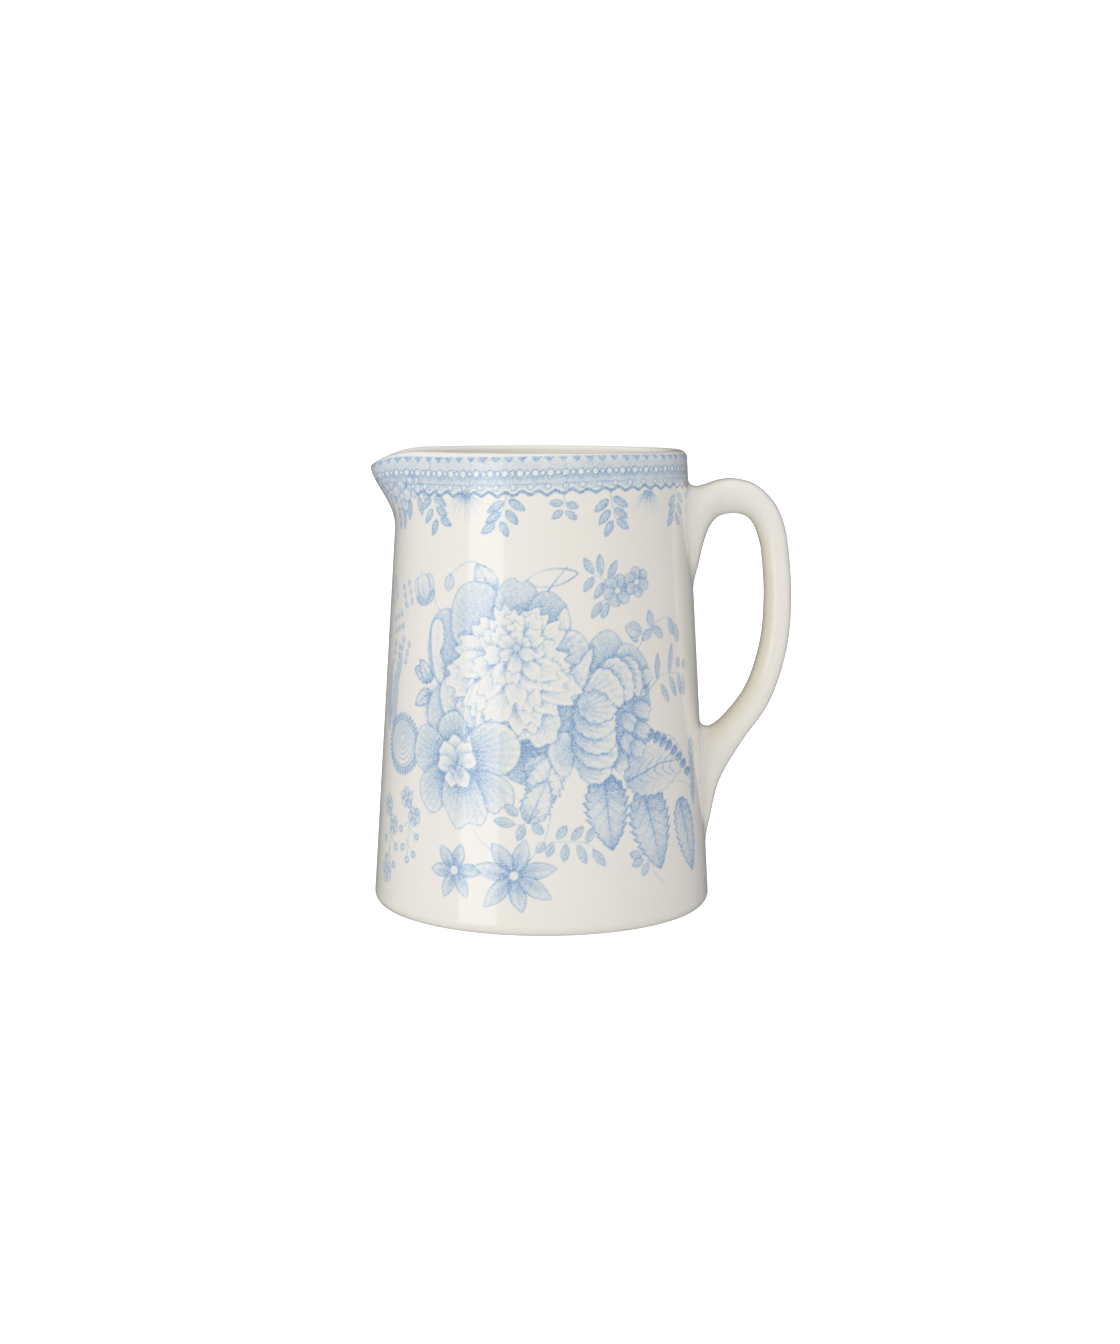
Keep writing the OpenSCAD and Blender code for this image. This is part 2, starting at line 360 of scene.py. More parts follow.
def border(c):
    """The lace band under the rim, the same all round."""
    deg = c.deg[None, :] + 0 * c.z[:, None]
    # the band sits lower towards the lip and is narrower towards the handle
    top = BAND_TOP + 0.4 * np.sin(np.radians(2 * (deg + 15)))
    down = (top - c.z[:, None]) * (1.10 + 0.08 * np.sin(np.radians(2 * (deg - 15))))
    round_mm = 2 * math.pi * 32.3
    everywhere = slice(None)

    def swing(count, shift=0.0):
        """Distance round the wall from the middle of the nearest of count repeats."""
        return ((deg * count / 360 + shift) % 1.0 - 0.5) * round_mm / count

    def deepen(mask, tone):
        c.ink[:] = np.maximum(c.ink, mask * tone)

    wave = WAVE + 0.42 * np.sin(np.radians(deg * 58)) + 0.12 * np.sin(np.radians(deg * 22 + 40))
    # stippled ground, down to the waved edge
    c.cover(everywhere, edge(wave - down), 0.0)
    c.add(everywhere, edge(down) * edge(wave - 0.85 - down), 0.19 + 0.012 * down + 0.05 * c.grain + 0.05 * c.cloud)
    # small hanging triangles
    tri = np.minimum(down, 1.28 - np.abs(swing(70)) + 0.12 * c.cloud - down * 0.95)
    deepen(edge(tri), 0.66 + 0.12 * c.grain)
    # beads, large and small in turn, each in a darker ring with a shadow under it
    beads = ((63, 0.0, 0.60), (63, 0.5, 0.38))
    for count, shift, radius in beads:
        far = np.hypot(swing(count, shift), (down - BEADS) * 0.95)
        lower = np.hypot(swing(count, shift), (down - BEADS - 0.35) * 0.85)
        deepen(np.clip((radius + 0.85 - lower) / 0.4, 0, 1) * edge(down - BEADS + 0.4), 0.46 + 0.06 * c.cloud)
        deepen(line(far - radius - 0.18, 0.36), 0.78 + 0.12 * c.cloud)
    for count, shift, radius in beads:
        far = np.hypot(swing(count, shift), (down - BEADS) * 0.95)
        c.cover(everywhere, edge(radius - far), 0.0)
    # loops that hang on a thin line
    deepen(line(down - LOOPS, 0.30), 0.62 + 0.1 * c.cloud)
    far = np.hypot(swing(55, 0.2), (down - LOOPS - 0.50) * 0.95)
    deepen(line(far - 0.60, 0.32), 0.70)
    c.cover(everywhere, edge(0.44 - far), 0.02)
    # the waved blue edge
    deepen(line(down - wave, 0.78), 0.78 + 0.10 * c.grain)
    # the joins of the printed sheet
    for deg0 in (8.5, -48.0, 188.5, 132.0):
        stem(c, [(deg0, 100.0), (deg0 + 0.3, 97.0), (deg0, 93.8)], 0.34, 0.34)


def hanging_spray(c, deg, z, size=1.0, lean=0.0):
    """Leaves in pairs on a hanging stem that curves towards one side."""
    rows, drop = 3, 2.30 * size
    stem(c, [(deg, z + 0.8), (deg + lean * 0.25, z - drop), (deg + lean, z - rows * drop * 0.9)], 0.24, 0.46)
    tilt = 4.0 * lean
    for i in range(rows):
        k = (i + 0.4) / rows
        zz, dd = z - 0.5 - i * drop, deg + lean * k * k
        leaf(c, dd + 1.1, zz, -30 - 8 * i + tilt * k, (4.0 - 0.3 * i) * size, 1.55 * size, 0.40, 0.74, a=0.7,
             rim_w=0.3)
        leaf(c, dd - 1.1, zz - 0.4, 216 + 8 * i + tilt * k, (4.1 - 0.2 * i) * size, 1.55 * size, 0.40, 0.74, a=0.7,
             rim_w=0.3)


def tuft(c, deg, z):
    """A tuft of fine hanging hairs."""
    blot(c, deg, z - 0.7, 1.4, 1.3, 0.32)
    for i in range(25):
        k = (i - 12) / 12
        n = 5.2 - 1.8 * abs(k) ** 1.5 + c.rng.uniform(-0.9, 0.7)
        at, x, y = c.window(deg + 1.6 * k, z, n + 1)
        u, v = turned(x, y, -90 + 52 * k + c.rng.uniform(-7, 7), 0.16 * k, n)
        c.add(at, line(v, 0.15) * edge(u) * np.clip(1.3 - u / n, 0, 1), 0.42)


def cross_leaves(c, deg, z):
    """Two pairs of leaves under a short stem."""
    stem(c, [(deg, z + 2.6), (deg, z)], 0.24, 0.5)
    for side, up, a, n in ((0.6, 0.0, -16, 2.7), (-0.6, 0.1, 180, 2.8), (0.4, -1.6, -34, 2.9),
                           (-0.8, -1.5, 216, 2.7)):
        leaf(c, deg + side, z + up, a, n, 1.35, 0.40, 0.70, rim_w=0.28)


def lip_cluster(c):
    """Small open flowers among hanging leaves under the lip."""
    blot(c, -66, 91.5, 4.0, 3.6, 0.22)
    leaves(c, ((-59.5, 91.6, -98, 4.4), (-54.0, 92.4, -72, 4.2), (-51.5, 93.2, -40, 3.4), (-64.5, 89.2, -96, 4.2),
               (-70.0, 89.6, -84, 4.8), (-76.0, 91.0, -104, 4.6), (-83.0, 91.5, -88, 4.4), (-62.0, 90.6, 236, 3.4)),
           1.6, 0.42, 0.72, rim_w=0.3)
    for side, z, r in ((-73.0, 93.2, 2.6), (-57.0, 94.4, 2.4), (-65.0, 92.2, 3.4), (-82.0, 94.0, 2.6)):
        daisy(c, side, z, r, 5, 24 * r, 0.16, wide=0.95, rim=0.66, eye=0.24)


def valance(c):
    """The row of small hangings under the border."""
    lip_cluster(c)
    hanging_spray(c, -46.0, 92.9, 0.95, 6.0)
    tuft(c, -30.2, 93.6)
    hanging_spray(c, -13.5, 92.8, 1.0, -5.0)
    cross_leaves(c, 8.0, 91.6)
    hanging_spray(c, 26.0, 93.2, 0.98, 2.5)
    tuft(c, 43.5, 94.0)
    hanging_spray(c, 62.5, 93.4, 0.90, -4.0)
    cross_leaves(c, 78.0, 92.2)


def peony(c):
    """The big full flower in the middle of the bouquet."""
    shape(c, [(-45, 61), (-43, 66.5), (-37, 69), (-31, 67), (-28, 61), (-29, 54), (-35, 51.5), (-41, 54), (-44, 57)],
          (-31, 58), 0.20, 0.5, 5)
    shape(c, [(-44, 64), (-42, 66.5), (-38.5, 66), (-37.5, 62), (-39, 59.5), (-37, 57), (-37.5, 53), (-40.5, 54),
              (-43, 58)], (-38, 56), 0.05, 0.25, 2.5, hatch=0.06)
    shape(c, [(-32, 62), (-34.5, 68), (-32, 73), (-26, 75), (-19, 74.3), (-14, 71), (-12, 66), (-20, 62)],
          (-20, 63), 0.17, 0.5, 5)
    shape(c, [(-17, 69), (-15.5, 74), (-11, 76), (-8, 75), (-5, 75.4), (-2, 73), (-2, 69), (-8, 65)],
          (-9, 65.5), 0.18, 0.55, 4.5)
    shape(c, [(-7, 65), (-5, 70), (-1, 73), (4, 73), (8.5, 70.5), (8.5, 70.5), (9, 66), (7, 63), (1, 61)],
          (-2, 65.5), 0.20, 0.75, 4.5)
    shape(c, [(8.3, 70), (5.5, 68), (4.5, 65), (6, 62.5), (9, 63.5), (10, 67)], (6, 64), 0.05, 0.25, 2.5, hatch=0.06)
    shape(c, [(1, 62), (5, 64.5), (12, 65), (16.5, 62), (17.5, 58), (14, 54), (7, 53), (2, 56)],
          (2, 58), 0.10, 0.5, 5, hatch=0.2, spacing=1.1)
    shape(c, [(18, 61.5), (16.5, 56), (14.5, 53), (11, 50.5), (6, 50), (1, 51), (-1, 54), (4, 55), (9, 56.5),
              (13, 58.5)], (1, 53), 0.08, 0.5, 5, scallop=0.2, wave=4.5)
    shape(c, [(-36, 52), (-41.5, 51), (-44, 47), (-42.5, 43), (-37, 40.5), (-29, 41), (-24, 45), (-27, 50)],
          (-28, 48), 0.19, 0.5, 5)
    shape(c, [(-36, 54.5), (-38.5, 51), (-36, 46.5), (-30, 44.5), (-22, 46), (-20, 52), (-27, 56.5)],
          (-24, 52), 0.07, 0.4, 4.5)
    shape(c, [(-31, 50), (-29, 46), (-24, 43.5), (-18, 43.5), (-12, 41), (-6, 42), (-1, 40.5), (4.5, 42), (6.5, 46),
              (4, 50), (-3, 53.5), (-20, 53)],
          (-13, 53), 0.08, 0.45, 6, scallop=0.6, wave=4.2)
    # count, start, length, width, shift round and tone of each ring of petals, the outermost first
    rings = ((10, 2.0, 11.2, 7.4, 200, 0.08), (11, 1.8, 9.6, 6.0, 0, 0.06), (10, 1.4, 7.4, 5.0, 15, 0.07),
             (8, 0.9, 5.4, 4.0, 5, 0.09), (6, 0.4, 3.5, 3.0, 30, 0.12))
    for k, (count, start, length, width, shift, tone) in enumerate(rings):
        for i in range(count):
            a = 200 + 150 * i / (count - 1) if k == 0 else shift + 360 * i / count
            wob = c.rng.uniform(-8, 8)
            drop = 1 + 0.18 * max(0.0, -math.sin(math.radians(a + wob)))
            size = c.rng.uniform(0.84, 1.14) * drop
            petal(c, -11 + 0.5 * k, 58.2 + 0.7 * k, a + wob, length * size, width * c.rng.uniform(0.9, 1.1),
                  tone - 0.02, 0.44, start=start, bend=c.rng.uniform(-0.12, 0.12), root=0.62, root_len=0.24,
                  phase=i * 2.1 + k, a=0.62, b=c.rng.uniform(0.28, 0.40), ruffle=0.07, waves=4.6, streak=0.08,
                  rim_w=0.2, under=0.45)
    disc(c, -9, 61.4, 0.9, 0.35, 0.5)


def blossom(c):
    """The open flower below the big one, with a cupped middle."""
    shape(c, [(-27, 41), (-27, 45), (-32, 47.5), (-38, 45), (-38, 41), (-31, 38)],
          (-31, 40), 0.13, 0.9, 3.8, hatch=0.16)
    shape(c, [(-50, 38.5), (-47.5, 43), (-42, 43.5), (-35, 40.5), (-33, 37), (-37, 33.5), (-44, 33.5), (-49, 35.5)],
          (-35, 37.5), 0.12, 0.95, 4.2, hatch=0.20)
    shape(c, [(-23, 38), (-25, 43), (-19, 45.5), (-12, 45), (-7.5, 41.5), (-8, 37.5), (-13, 34.5), (-22, 33.5)],
          (-26, 38.5), 0.06, 0.95, 4.4, hatch=0.20)
    shape(c, [(-35, 36), (-42, 34.5), (-46.5, 31.5), (-45, 27.5), (-40, 25), (-35.5, 27), (-32, 32)],
          (-35, 34), 0.11, 0.9, 3.6, hatch=0.14)
    shape(c, [(-25, 35), (-15, 34.5), (-10, 32), (-9.5, 28.5), (-13.5, 27.5), (-13.5, 27.5), (-16, 26.2), (-21, 28),
              (-26, 32)], (-24, 34.5), 0.10, 0.85, 3.8, hatch=0.14)
    shape(c, [(-34, 34), (-36, 29), (-33, 25), (-29, 22.3), (-25, 23.8), (-20.5, 23.5), (-18.5, 26.5), (-21, 31),
              (-25, 34.5)], (-28, 34), 0.09, 0.85, 4.0, scallop=0.15, wave=5, hatch=0.16)
    blot(c, -30, 36.0, 5.6, 5.2, 0.5)
    cup = ((96, 6.2, 4.4), (60, 5.6, 4.2), (132, 5.6, 4.0), (24, 4.8, 3.6), (176, 4.6, 3.6), (250, 4.4, 3.6),
           (302, 4.8, 3.8))
    for i, (a, length, width) in enumerate(cup):
        petal(c, -30.5, 35.8, a, length, width, 0.06, 0.5, start=0.2, ruffle=0.05, waves=3, phase=i, root=0.6,
              root_len=0.3, streak=0.16, a=0.6, b=0.4)
    for i in range(9):
        disc(c, -30.5 + c.rng.uniform(-2.4, 2.4), 34.6 + c.rng.uniform(-1.2, 1.2), 0.5, 0.25, 0.5)


def rose(c):
    """The rose at the right: a curling stack of scalloped petals before a crowd of small ones."""
    shape(c, [(16, 60), (18.5, 63.5), (24, 65), (29, 62.5), (30, 58), (24, 55), (18, 56)], (25, 57), 0.17, 0.5, 4.5)
    shape(c, [(27, 60), (31, 62), (36, 60.5), (40.5, 56.5), (40, 51), (35, 50), (29, 54)], (33, 54), 0.17, 0.55, 4.5)
    shape(c, [(29, 52), (38, 53), (41, 49), (39, 45), (35, 40), (28, 37), (25, 42), (26, 48)],
          (29, 47), 0.34, 0.3, 4, hatch=0.2)
    crowd = ((31, 51, 10, 5.2), (33, 48.5, -22, 5.6), (29, 47, -48, 5.0), (34, 44.5, -35, 4.8),
             (29, 43, -62, 5.2), (27, 39, -75, 4.6), (32, 40.5, -30, 4.2), (36, 53.5, 25, 4.2))
    for i, (d, z, a, n) in enumerate(crowd):
        petal(c, d, z, a, n, 3.6, 0.14, 0.6, root=0.6, root_len=0.4, notch=0.15, ruffle=0.06, waves=7, phase=i,
              under=0.6, a=0.5, b=0.45)
    shape(c, [(2, 39.5), (4.5, 43), (9, 43.5), (11, 39), (9, 34.5), (5, 35)], (10, 40), 0.14, 0.5, 2.6)
    lobes = (((11, 38), (15, 40), (21, 40.5), (25.5, 38), (24, 34.5), (20, 32.5), (15, 33), (12, 35.5)),
             ((10.5, 42), (15, 43.5), (21, 43.5), (26, 42), (27, 38.5), (24, 36), (18, 35.8), (12.5, 38)),
             ((10.5, 45), (15, 46.5), (21, 46.5), (25, 45.5), (26.5, 42.5), (24.5, 39.5), (18, 38.8), (12, 41)),
             ((11, 48), (15, 49.5), (21, 50), (25, 48.5), (26.5, 45.5), (24, 43), (18, 42), (12, 44)),
             ((12.5, 51), (16, 53), (21, 53.5), (26, 52), (27, 48.5), (24, 46), (18, 45.4), (13, 47.5)),
             ((27, 57.5), (31, 59.3), (36, 57.5), (38, 53), (36, 50.5), (33, 51.5), (30, 54)),
             ((20, 56), (23, 58.8), (28, 59), (33, 56), (34, 51.5), (31, 49.5), (28, 52), (24, 54.5)),
             ((14.5, 52), (16, 55), (20.5, 57), (25.5, 56), (29.5, 52.5), (29, 48.8), (26, 49), (22, 51.5),
              (18, 52.3)))
    for i, points in enumerate(lobes):
        root = (points[0][0] + 1.5, points[0][1] - 2.2) if i < 5 else (points[0][0] + 1, points[0][1] - 1)
        shape(c, points, root, 0.05, 0.5, 3.4, 0.5, 0.18, 0.34, 2.6, under=0.75, spacing=1.0)


def bud(c, deg, z, angle, size):
    petal(c, deg, z, angle - 22, size, size * 0.55, 0.14, 0.6, root=0.5, a=0.6, b=0.5)
    petal(c, deg, z, angle + 22, size, size * 0.55, 0.14, 0.6, root=0.5, a=0.6, b=0.5)
    petal(c, deg, z, angle, size * 1.05, size * 0.6, 0.10, 0.62, root=0.4, a=0.6, b=0.5, ruffle=0.05)
    leaf(c, deg, z, angle + 55, size * 0.6, size * 0.25, 0.5)
    leaf(c, deg, z, angle - 55, size * 0.6, size * 0.25, 0.5)


def berries(c, deg, z, angle, length, count=3, size=1.0):
    """Small drop shapes in two rows along a thin stem."""
    a = math.radians(angle)
    r = wall_r(z)
    for i in range(count):
        s = length * (i + 0.6) / count
        for side in (-1, 1):
            dx = s * math.cos(a) - side * 1.0 * math.sin(a)
            dz = s * math.sin(a) + side * 1.0 * math.cos(a)
            leaf(c, deg + math.degrees(dx / r), z + dz, angle + side * 24, 1.5 * size, 1.05 * size, 0.4, 0.5, vein=0,
                 a=0.6, b=0.4)


def flower_spray(c, deg, z, size=1.0, lean=0.0):
    """Two small open flowers on a branching stem, with berries on short stalks."""
    stem(c, [(deg + lean, z + 11 * size), (deg + 0.5 * lean, z + 5 * size), (deg, z - 4 * size)], 0.24, 0.55)
    for side, up, r in ((-2.6, 9.0, 2.5), (2.4, 5.2, 2.3)):
        daisy(c, deg + lean * 0.5 + side, z + up * size, r * size, 5, 20 * side, 0.24, wide=0.9, rim=0.66, eye=0.22)
    for side, up in ((-4.5, 1.5), (4.6, 0.6), (-3.0, -2.6), (3.4, -3.6), (0.0, -5.2)):
        stem(c, [(deg, z + (up + 2) * size), (deg + side, z + up * size)], 0.18, 0.5)
        disc(c, deg + side, z + up * size, 0.72 * size, 0.30, 0.72, 0.26)


def ear(c, deg, z, length):
    """A hanging ear of small grains."""
    stem(c, [(deg, z + 2.5), (deg, z)], 0.2, 0.5)
    n = int(length / 1.7)
    for i in range(n):
        low = z - length * i / n
        for side in (-1, 1):
            leaf(c, deg, low - 0.4 * (side > 0), -90 + side * (40 - 2.5 * i), 2.5, 1.05, 0.46, 0.66, vein=0)
    leaf(c, deg, z - length * 0.98, -90, 2.6, 1.0, 0.5, 0.66, vein=0)


def feather(c, points, width):
    """A long plume of fine barbs along a curved rib."""
    stem(c, points, 0.28, 0.6)
    pts = np.array(points, float)
    n = 26
    for i in range(n):
        s = (i + 0.5) / n * (len(pts) - 1)
        d = np.interp(s, range(len(pts)), pts[:, 0])
        z = np.interp(s, range(len(pts)), pts[:, 1])
        k = width * math.sin(math.pi * (0.12 + 0.8 * i / n))
        j = min(int(s), len(pts) - 2)
        run = math.degrees(math.atan2(pts[j + 1, 1] - pts[j, 1], math.radians(pts[j + 1, 0] - pts[j, 0]) * wall_r(z)))
        for side in (-1, 1):
            leaf(c, d, z, run + side * 38, k, 0.75, 0.35, 0.5, vein=0, rim_w=0.16)


def bouquet(c):
    """All of the flowers on one side of the jug."""
    # far things first: sprays, stems and leaves
    stem(c, [(2, 73.5), (6, 76.5), (9, 78.5)], 0.35, 0.6)
    stem(c, [(27, 73.8), (23.5, 75.4), (18, 77.0)], 0.24, 0.55)
    leaves(c, ((18.5, 77.0, 122, 3.8), (21.5, 76.6, 94, 4.4), (24.5, 75.8, 62, 4.2), (18.8, 76.2, 232, 3.8),
               (22.5, 75.0, 238, 4.0), (21.5, 70.9, 236, 4.0), (24.0, 70.8, 248, 3.6)), 1.6, 0.42, 0.70)
    stem(c, [(27.5, 72.2), (24, 71.4), (21, 70.9)], 0.22, 0.5)
    daisy(c, 28.0, 73.2, 3.5, 6, 15, 0.34, rim=0.62, eye=0.22)
    daisy(c, 36.5, 74.8, 3.3, 6, 40, 0.34, rim=0.62, eye=0.22)
    # two open outline leaves over the big flower
    veined_leaf(c, -18, 72.5, 118, 7.5, 5.0, 0.12, 0, 0.06, 0.55, 5)
    stem(c, [(-21, 78.2), (-27, 79.2), (-33, 77.6), (-36, 75.6)], 0.22, 0.5)
    leaf(c, -35.5, 76.4, 262, 3.8, 2.4, 0.22, 0.6)
    at, x, y = c.window(3.5, 76.2, 7)
    u, v = turned(x, y, 10)
    d, _ = spindle(u + 5.5, v, 11, 3.6, 0.7, 0.8)
    c.add(at, line(d, 0.34) * np.clip(0.6 + u * 0.12, 0.3, 1), 0.75)
    # bud at the left
    bud(c, -47, 69.5, 108, 6.6)
    stem(c, [(-43, 71), (-41, 69), (-38, 68)], 0.24, 0.45)
    # berry sprays at the left edge
    for dd, z0, a in ((-57, 67.5, 112), (-60, 66.0, 200), (-58, 62.5, 252), (-66, 61.5, 262), (-70, 68, 120)):
        berries(c, dd, z0, a, 6.0, 3, 1.0)
    stem(c, [(-57, 70), (-61, 65), (-63, 60)], 0.18, 0.3)
    feather(c, [(-62, 57), (-66, 52), (-67, 45), (-64, 39)], 2.8)
    feather(c, [(-72, 56), (-73, 48), (-71, 41)], 2.4)
    # round seed head with a comb of short rays
    head_d, head_z, head_r = -58.0, 38.5, 5.2
    disc(c, head_d, head_z, head_r, 0.18, 0.6, 0.3)
    for i in range(38):
        a = 2 * math.pi * i / 38
        x, y = head_r * math.cos(a), head_r * math.sin(a)
        leaf(c, head_d + math.degrees(x / wall_r(head_z)), head_z + y, math.degrees(a), 1.7, 0.62, 0.65, 0.7, vein=0)
    for k in range(5):
        at, x, y = c.window(head_d, head_z, head_r)
        d = head_r - 0.6 - 0.85 * k - np.hypot(x * 1.2, y - 0.3 * k)
        c.cover(at, edge(d), 0.03 + 0.03 * k)
        c.add(at, line(d, 0.26), 0.6)
    # leaves behind the flowers
    veined_leaf(c, -42, 54.0, 168, 6.5, 4.4, 0.2, 5, 0.0, 0.7, 4)
    veined_leaf(c, -43, 53.0, 130, 6.0, 3.6, 0.2, 5, 0.0, 0.7, 4)
    veined_leaf(c, -43, 51.0, 215, 6.0, 3.8, 0.2, 5, 0.0, 0.7, 4)
    shape(c, [(3, 51), (9, 52), (16, 57), (15, 50), (13, 43), (8, 40), (2, 40)], (15, 54), 0.36, 0.5, 4, hatch=0.25)
    shape(c, [(-10, 44), (-2, 44), (6, 43), (6, 37), (0, 33), (-8, 33), (-13, 36)],
          (-6, 40), 0.36, 0.5, 4, hatch=0.25)
    # right-hand sprays
    stem(c, [(30, 56), (38, 62), (46, 66), (53, 66.5), (57, 64.5)], 0.26, 0.5)
    leaves(c, ((36, 62, 120, 3.6), (38, 62.5, 30, 3.8), (43, 65, 100, 3.6), (44, 65, -40, 3.8), (53, 66.4, -70, 4.0),
               (57, 65, -78, 4.2)), 1.9, 0.40)
    leaf(c, 31, 65.5, -20, 4.6, 3.2, 0.34)
    stem(c, [(38, 50), (46, 54), (52, 54.5), (60, 54)], 0.24, 0.5)
    leaves(c, ((45, 53.6, 86, 5.6), (52, 54.6, 78, 6.4), (47, 52.4, -58, 4.6), (52, 54.0, -64, 5.2),
               (58, 54.0, -80, 4.6), (61, 53.8, -84, 4.8), (58, 55.4, 88, 2.2), (62, 55.0, 80, 2.0)), 1.5, 0.42)
    # saw-edged leaves at the lower right
    veined_leaf(c, 36, 31.0, -70, 19.0, 12.0, 0.28, 10, -0.08, 0.9, 6, 0.5)
    veined_leaf(c, 55, 27.0, -70, 17.5, 8.6, 0.30, 10, -0.05, 0.9, 6, 0.3)
    shape(c, [(29, 34), (31, 38), (36, 41), (43, 42.2), (51, 41), (57, 38), (61, 34), (61, 34), (54, 32), (46, 29.5),
              (37, 29), (31, 31)],
          (30, 32), 0.08, 0.6, 4.0, saw=0.5, wave=2.1, hatch=0.06)
    # this middle vein stands at the front only: each side's pass draws it there
    stem(c, [(d - c.turn, z) for d, z in ((30, 32.5), (37, 34), (45, 35.5), (53, 35.5))], 0.34, 0.6)
    for i in range(5):
        d, z = 34 + 4 * i, 33.4 + 0.6 * i - 0.1 * i * i
        stem(c, [(d, z), (d + 1.5, z + 1.8), (d + 4.2, z + 3.4 - 0.3 * i)], 0.4, 0.5)
        stem(c, [(d, z), (d + 2.5, z - 1.2), (d + 5.0, z - 1.6)], 0.34, 0.45)
    veined_leaf(c, 21.5, 34.5, -86, 16.5, 10.8, 0.28, 9, 0.03, 0.9, 6, 0.55)
    for i in range(8):
        leaf(c, 39.5 + 2.8 * i, 40.6 - 0.55 * i * (1 + 0.16 * i), 62 - 9 * i, 2.9, 1.8, 0.95, 0.85, vein=0, a=0.9,
             b=0.5)
    ear(c, 66, 39.5, 12.5)
    stem(c, [(64, 28), (60, 30), (54, 31)], 0.2, 0.45)
    # veined leaf pair under the big flower
    veined_leaf(c, -6, 35.5, 12, 9.0, 6.0, 0.10, 6, 0.0, 0.6, 5, 0.3)
    veined_leaf(c, -2, 28.5, 66, 12.0, 8.5, 0.10, 7, 0.04, 0.65, 6, 0.3)
    veined_leaf(c, -4.5, 24.5, 66, 10.0, 7.0, 0.12, 6, 0.0, 0.7, 5, 0.4)
    # deep shade between the flowers
    for dd, z0, rx, ry in ((12, 51, 5.0, 6.5), (-6, 42, 5.0, 3.0), (-41, 48, 3.0, 4.0), (26, 50, 3.0, 5.0)):
        blot(c, dd, z0, rx, ry, 0.45)
    # the three large flowers
    rose(c)
    peony(c)
    blossom(c)
    # small sprays round the foot of the bouquet
    stem(c, [(-1, 27), (-5, 24.5), (-9, 24)], 0.26, 0.6)
    leaves(c, ((-9, 24.2, 172, 4.6), (-8, 26.0, 140, 3.6), (-6, 24.0, 250, 3.4), (-3, 24.2, -40, 3.0)), 1.9, 0.40)
    stem(c, [(3, 26.5), (1, 21), (-4, 16.5)], 0.22, 0.45)
    stem(c, [(3, 20.5), (9, 20.5), (15, 20), (20, 17)], 0.22, 0.45)
    leaves(c, ((5, 21.2, 52, 3.4), (10, 20.9, 48, 3.6), (15, 20.2, 62, 3.6), (3.5, 20.2, 250, 3.0),
               (8, 20.0, -96, 3.8), (12, 19.8, -66, 4.4), (17, 18.6, -52, 4.6), (1, 20.4, 232, 2.8)), 1.7, 0.40)
    daisy(c, -30, 13.4, 6.6, 6, 8, 0.26, True, 0.58, rim=0.68, eye=0.16, gap=0.12)
    daisy(c, -9, 13.2, 9.0, 7, 20, 0.24, True, 0.62, rim=0.68, eye=0.12, gap=0.09)
    stem(c, [(-17, 18.5), (-21, 20.5), (-23, 22.5)], 0.24, 0.5)
    leaves(c, ((35, 16.0, 160, 3.0), (36, 15.4, 200, 3.2), (38, 14.6, 240, 3.2)), 1.7, 0.40)
    stem(c, [(34, 17.6), (38, 16), (41, 12), (45, 9.5)], 0.26, 0.5)
    # small flower sprays at the lower left
    flower_spray(c, -52, 18.5, 0.95, 1.5)
    flower_spray(c, -64, 15.0, 1.0, -1.0)
    daisy(c, -66, 9.5, 2.8, 5, 30, 0.24, wide=0.9, rim=0.66, eye=0.22)
    stem(c, [(-65, 13.0), (-64, 15.5)], 0.22, 0.5)


def garland(c):
    """The upright spray between the two bouquets, under the lip and behind the handle."""
    stem(c, [(0, 84), (-2, 70), (2, 55), (-1, 40), (1, 26), (0, 14)], 0.3, 0.5)
    for i in range(11):
        z = 82 - 6.2 * i
        s = 1 if i % 2 else -1
        leaf(c, s * 0.8, z, -90 + s * 62, 5.0 - 0.1 * i, 2.2, 0.36, 0.62)
        leaf(c, -s * 0.8, z - 2.4, -90 - s * 48, 4.2, 1.9, 0.36, 0.62)
    for d, z, size in ((4.5, 62, 3.4), (-4.5, 45, 3.6), (4.0, 30, 3.2), (-1.0, 17, 3.4), (-4.0, 76, 2.8)):
        daisy(c, d, z, size, 5, 20 * size, 0.3, eye=0.24)


def paint():
    """The whole print: one side is drawn, and the other repeats it."""
    c = Canvas()
    for c.turn in BETWEEN_SIDES:
        garland(c)
    for c.turn in SIDES:
        bouquet(c)
    c.ink *= 0.84 + 0.16 * np.clip(c.ink, 0, 1)
    c.turn = 0
    border(c)
    for c.turn in SIDES:
        valance(c)
    c.ink = np.clip(c.ink, 0, 1)
    return c


# ---------------------------------------------------------------- the body's mesh


def quarter(cr, cz, r, start, end, count):
    """Points of an arc, in radius and height, without its first point."""
    angles = np.radians(np.linspace(start, end, count + 1)[1:])
    return [(cr + r * math.cos(a), cz + r * math.sin(a)) for a in angles]


def hump(off, half, power):
    """1 at the lip's middle, 0 from the angle half outwards, narrower for a higher power."""
    return np.where(off < half, 0.5 + 0.5 * np.cos(np.pi * off / half), 0) ** power


def lip_moved(r, z, deg):
    """Radius and height after the wall swells and droops into the lip, which points to -X."""
    off = np.abs((deg + 90 + 180) % 360 - 180)
    u = np.clip((z - (HEIGHT - LIP_HEIGHT)) / LIP_HEIGHT, 0, 1.2)
    rise = np.clip(u, 0, 1) ** 1.1
    rise = rise * rise * (3 - 2 * rise)
    out = r + LIP_REACH * hump(off, LIP_HALF_ANGLE, 1.1) * rise
    return out, z - LIP_DROOP * hump(off, DROOP_HALF_ANGLE, 1.6) * u ** 1.3


def ring_points(r, z, deg):
    """A ring of points round the axis at a profile point."""
    rr, zz = lip_moved(np.full(len(deg), float(r)), np.full(len(deg), float(z)), deg)
    a = np.radians(deg)
    return np.stack([rr * np.sin(a), -rr * np.cos(a), zz], 1) * MM


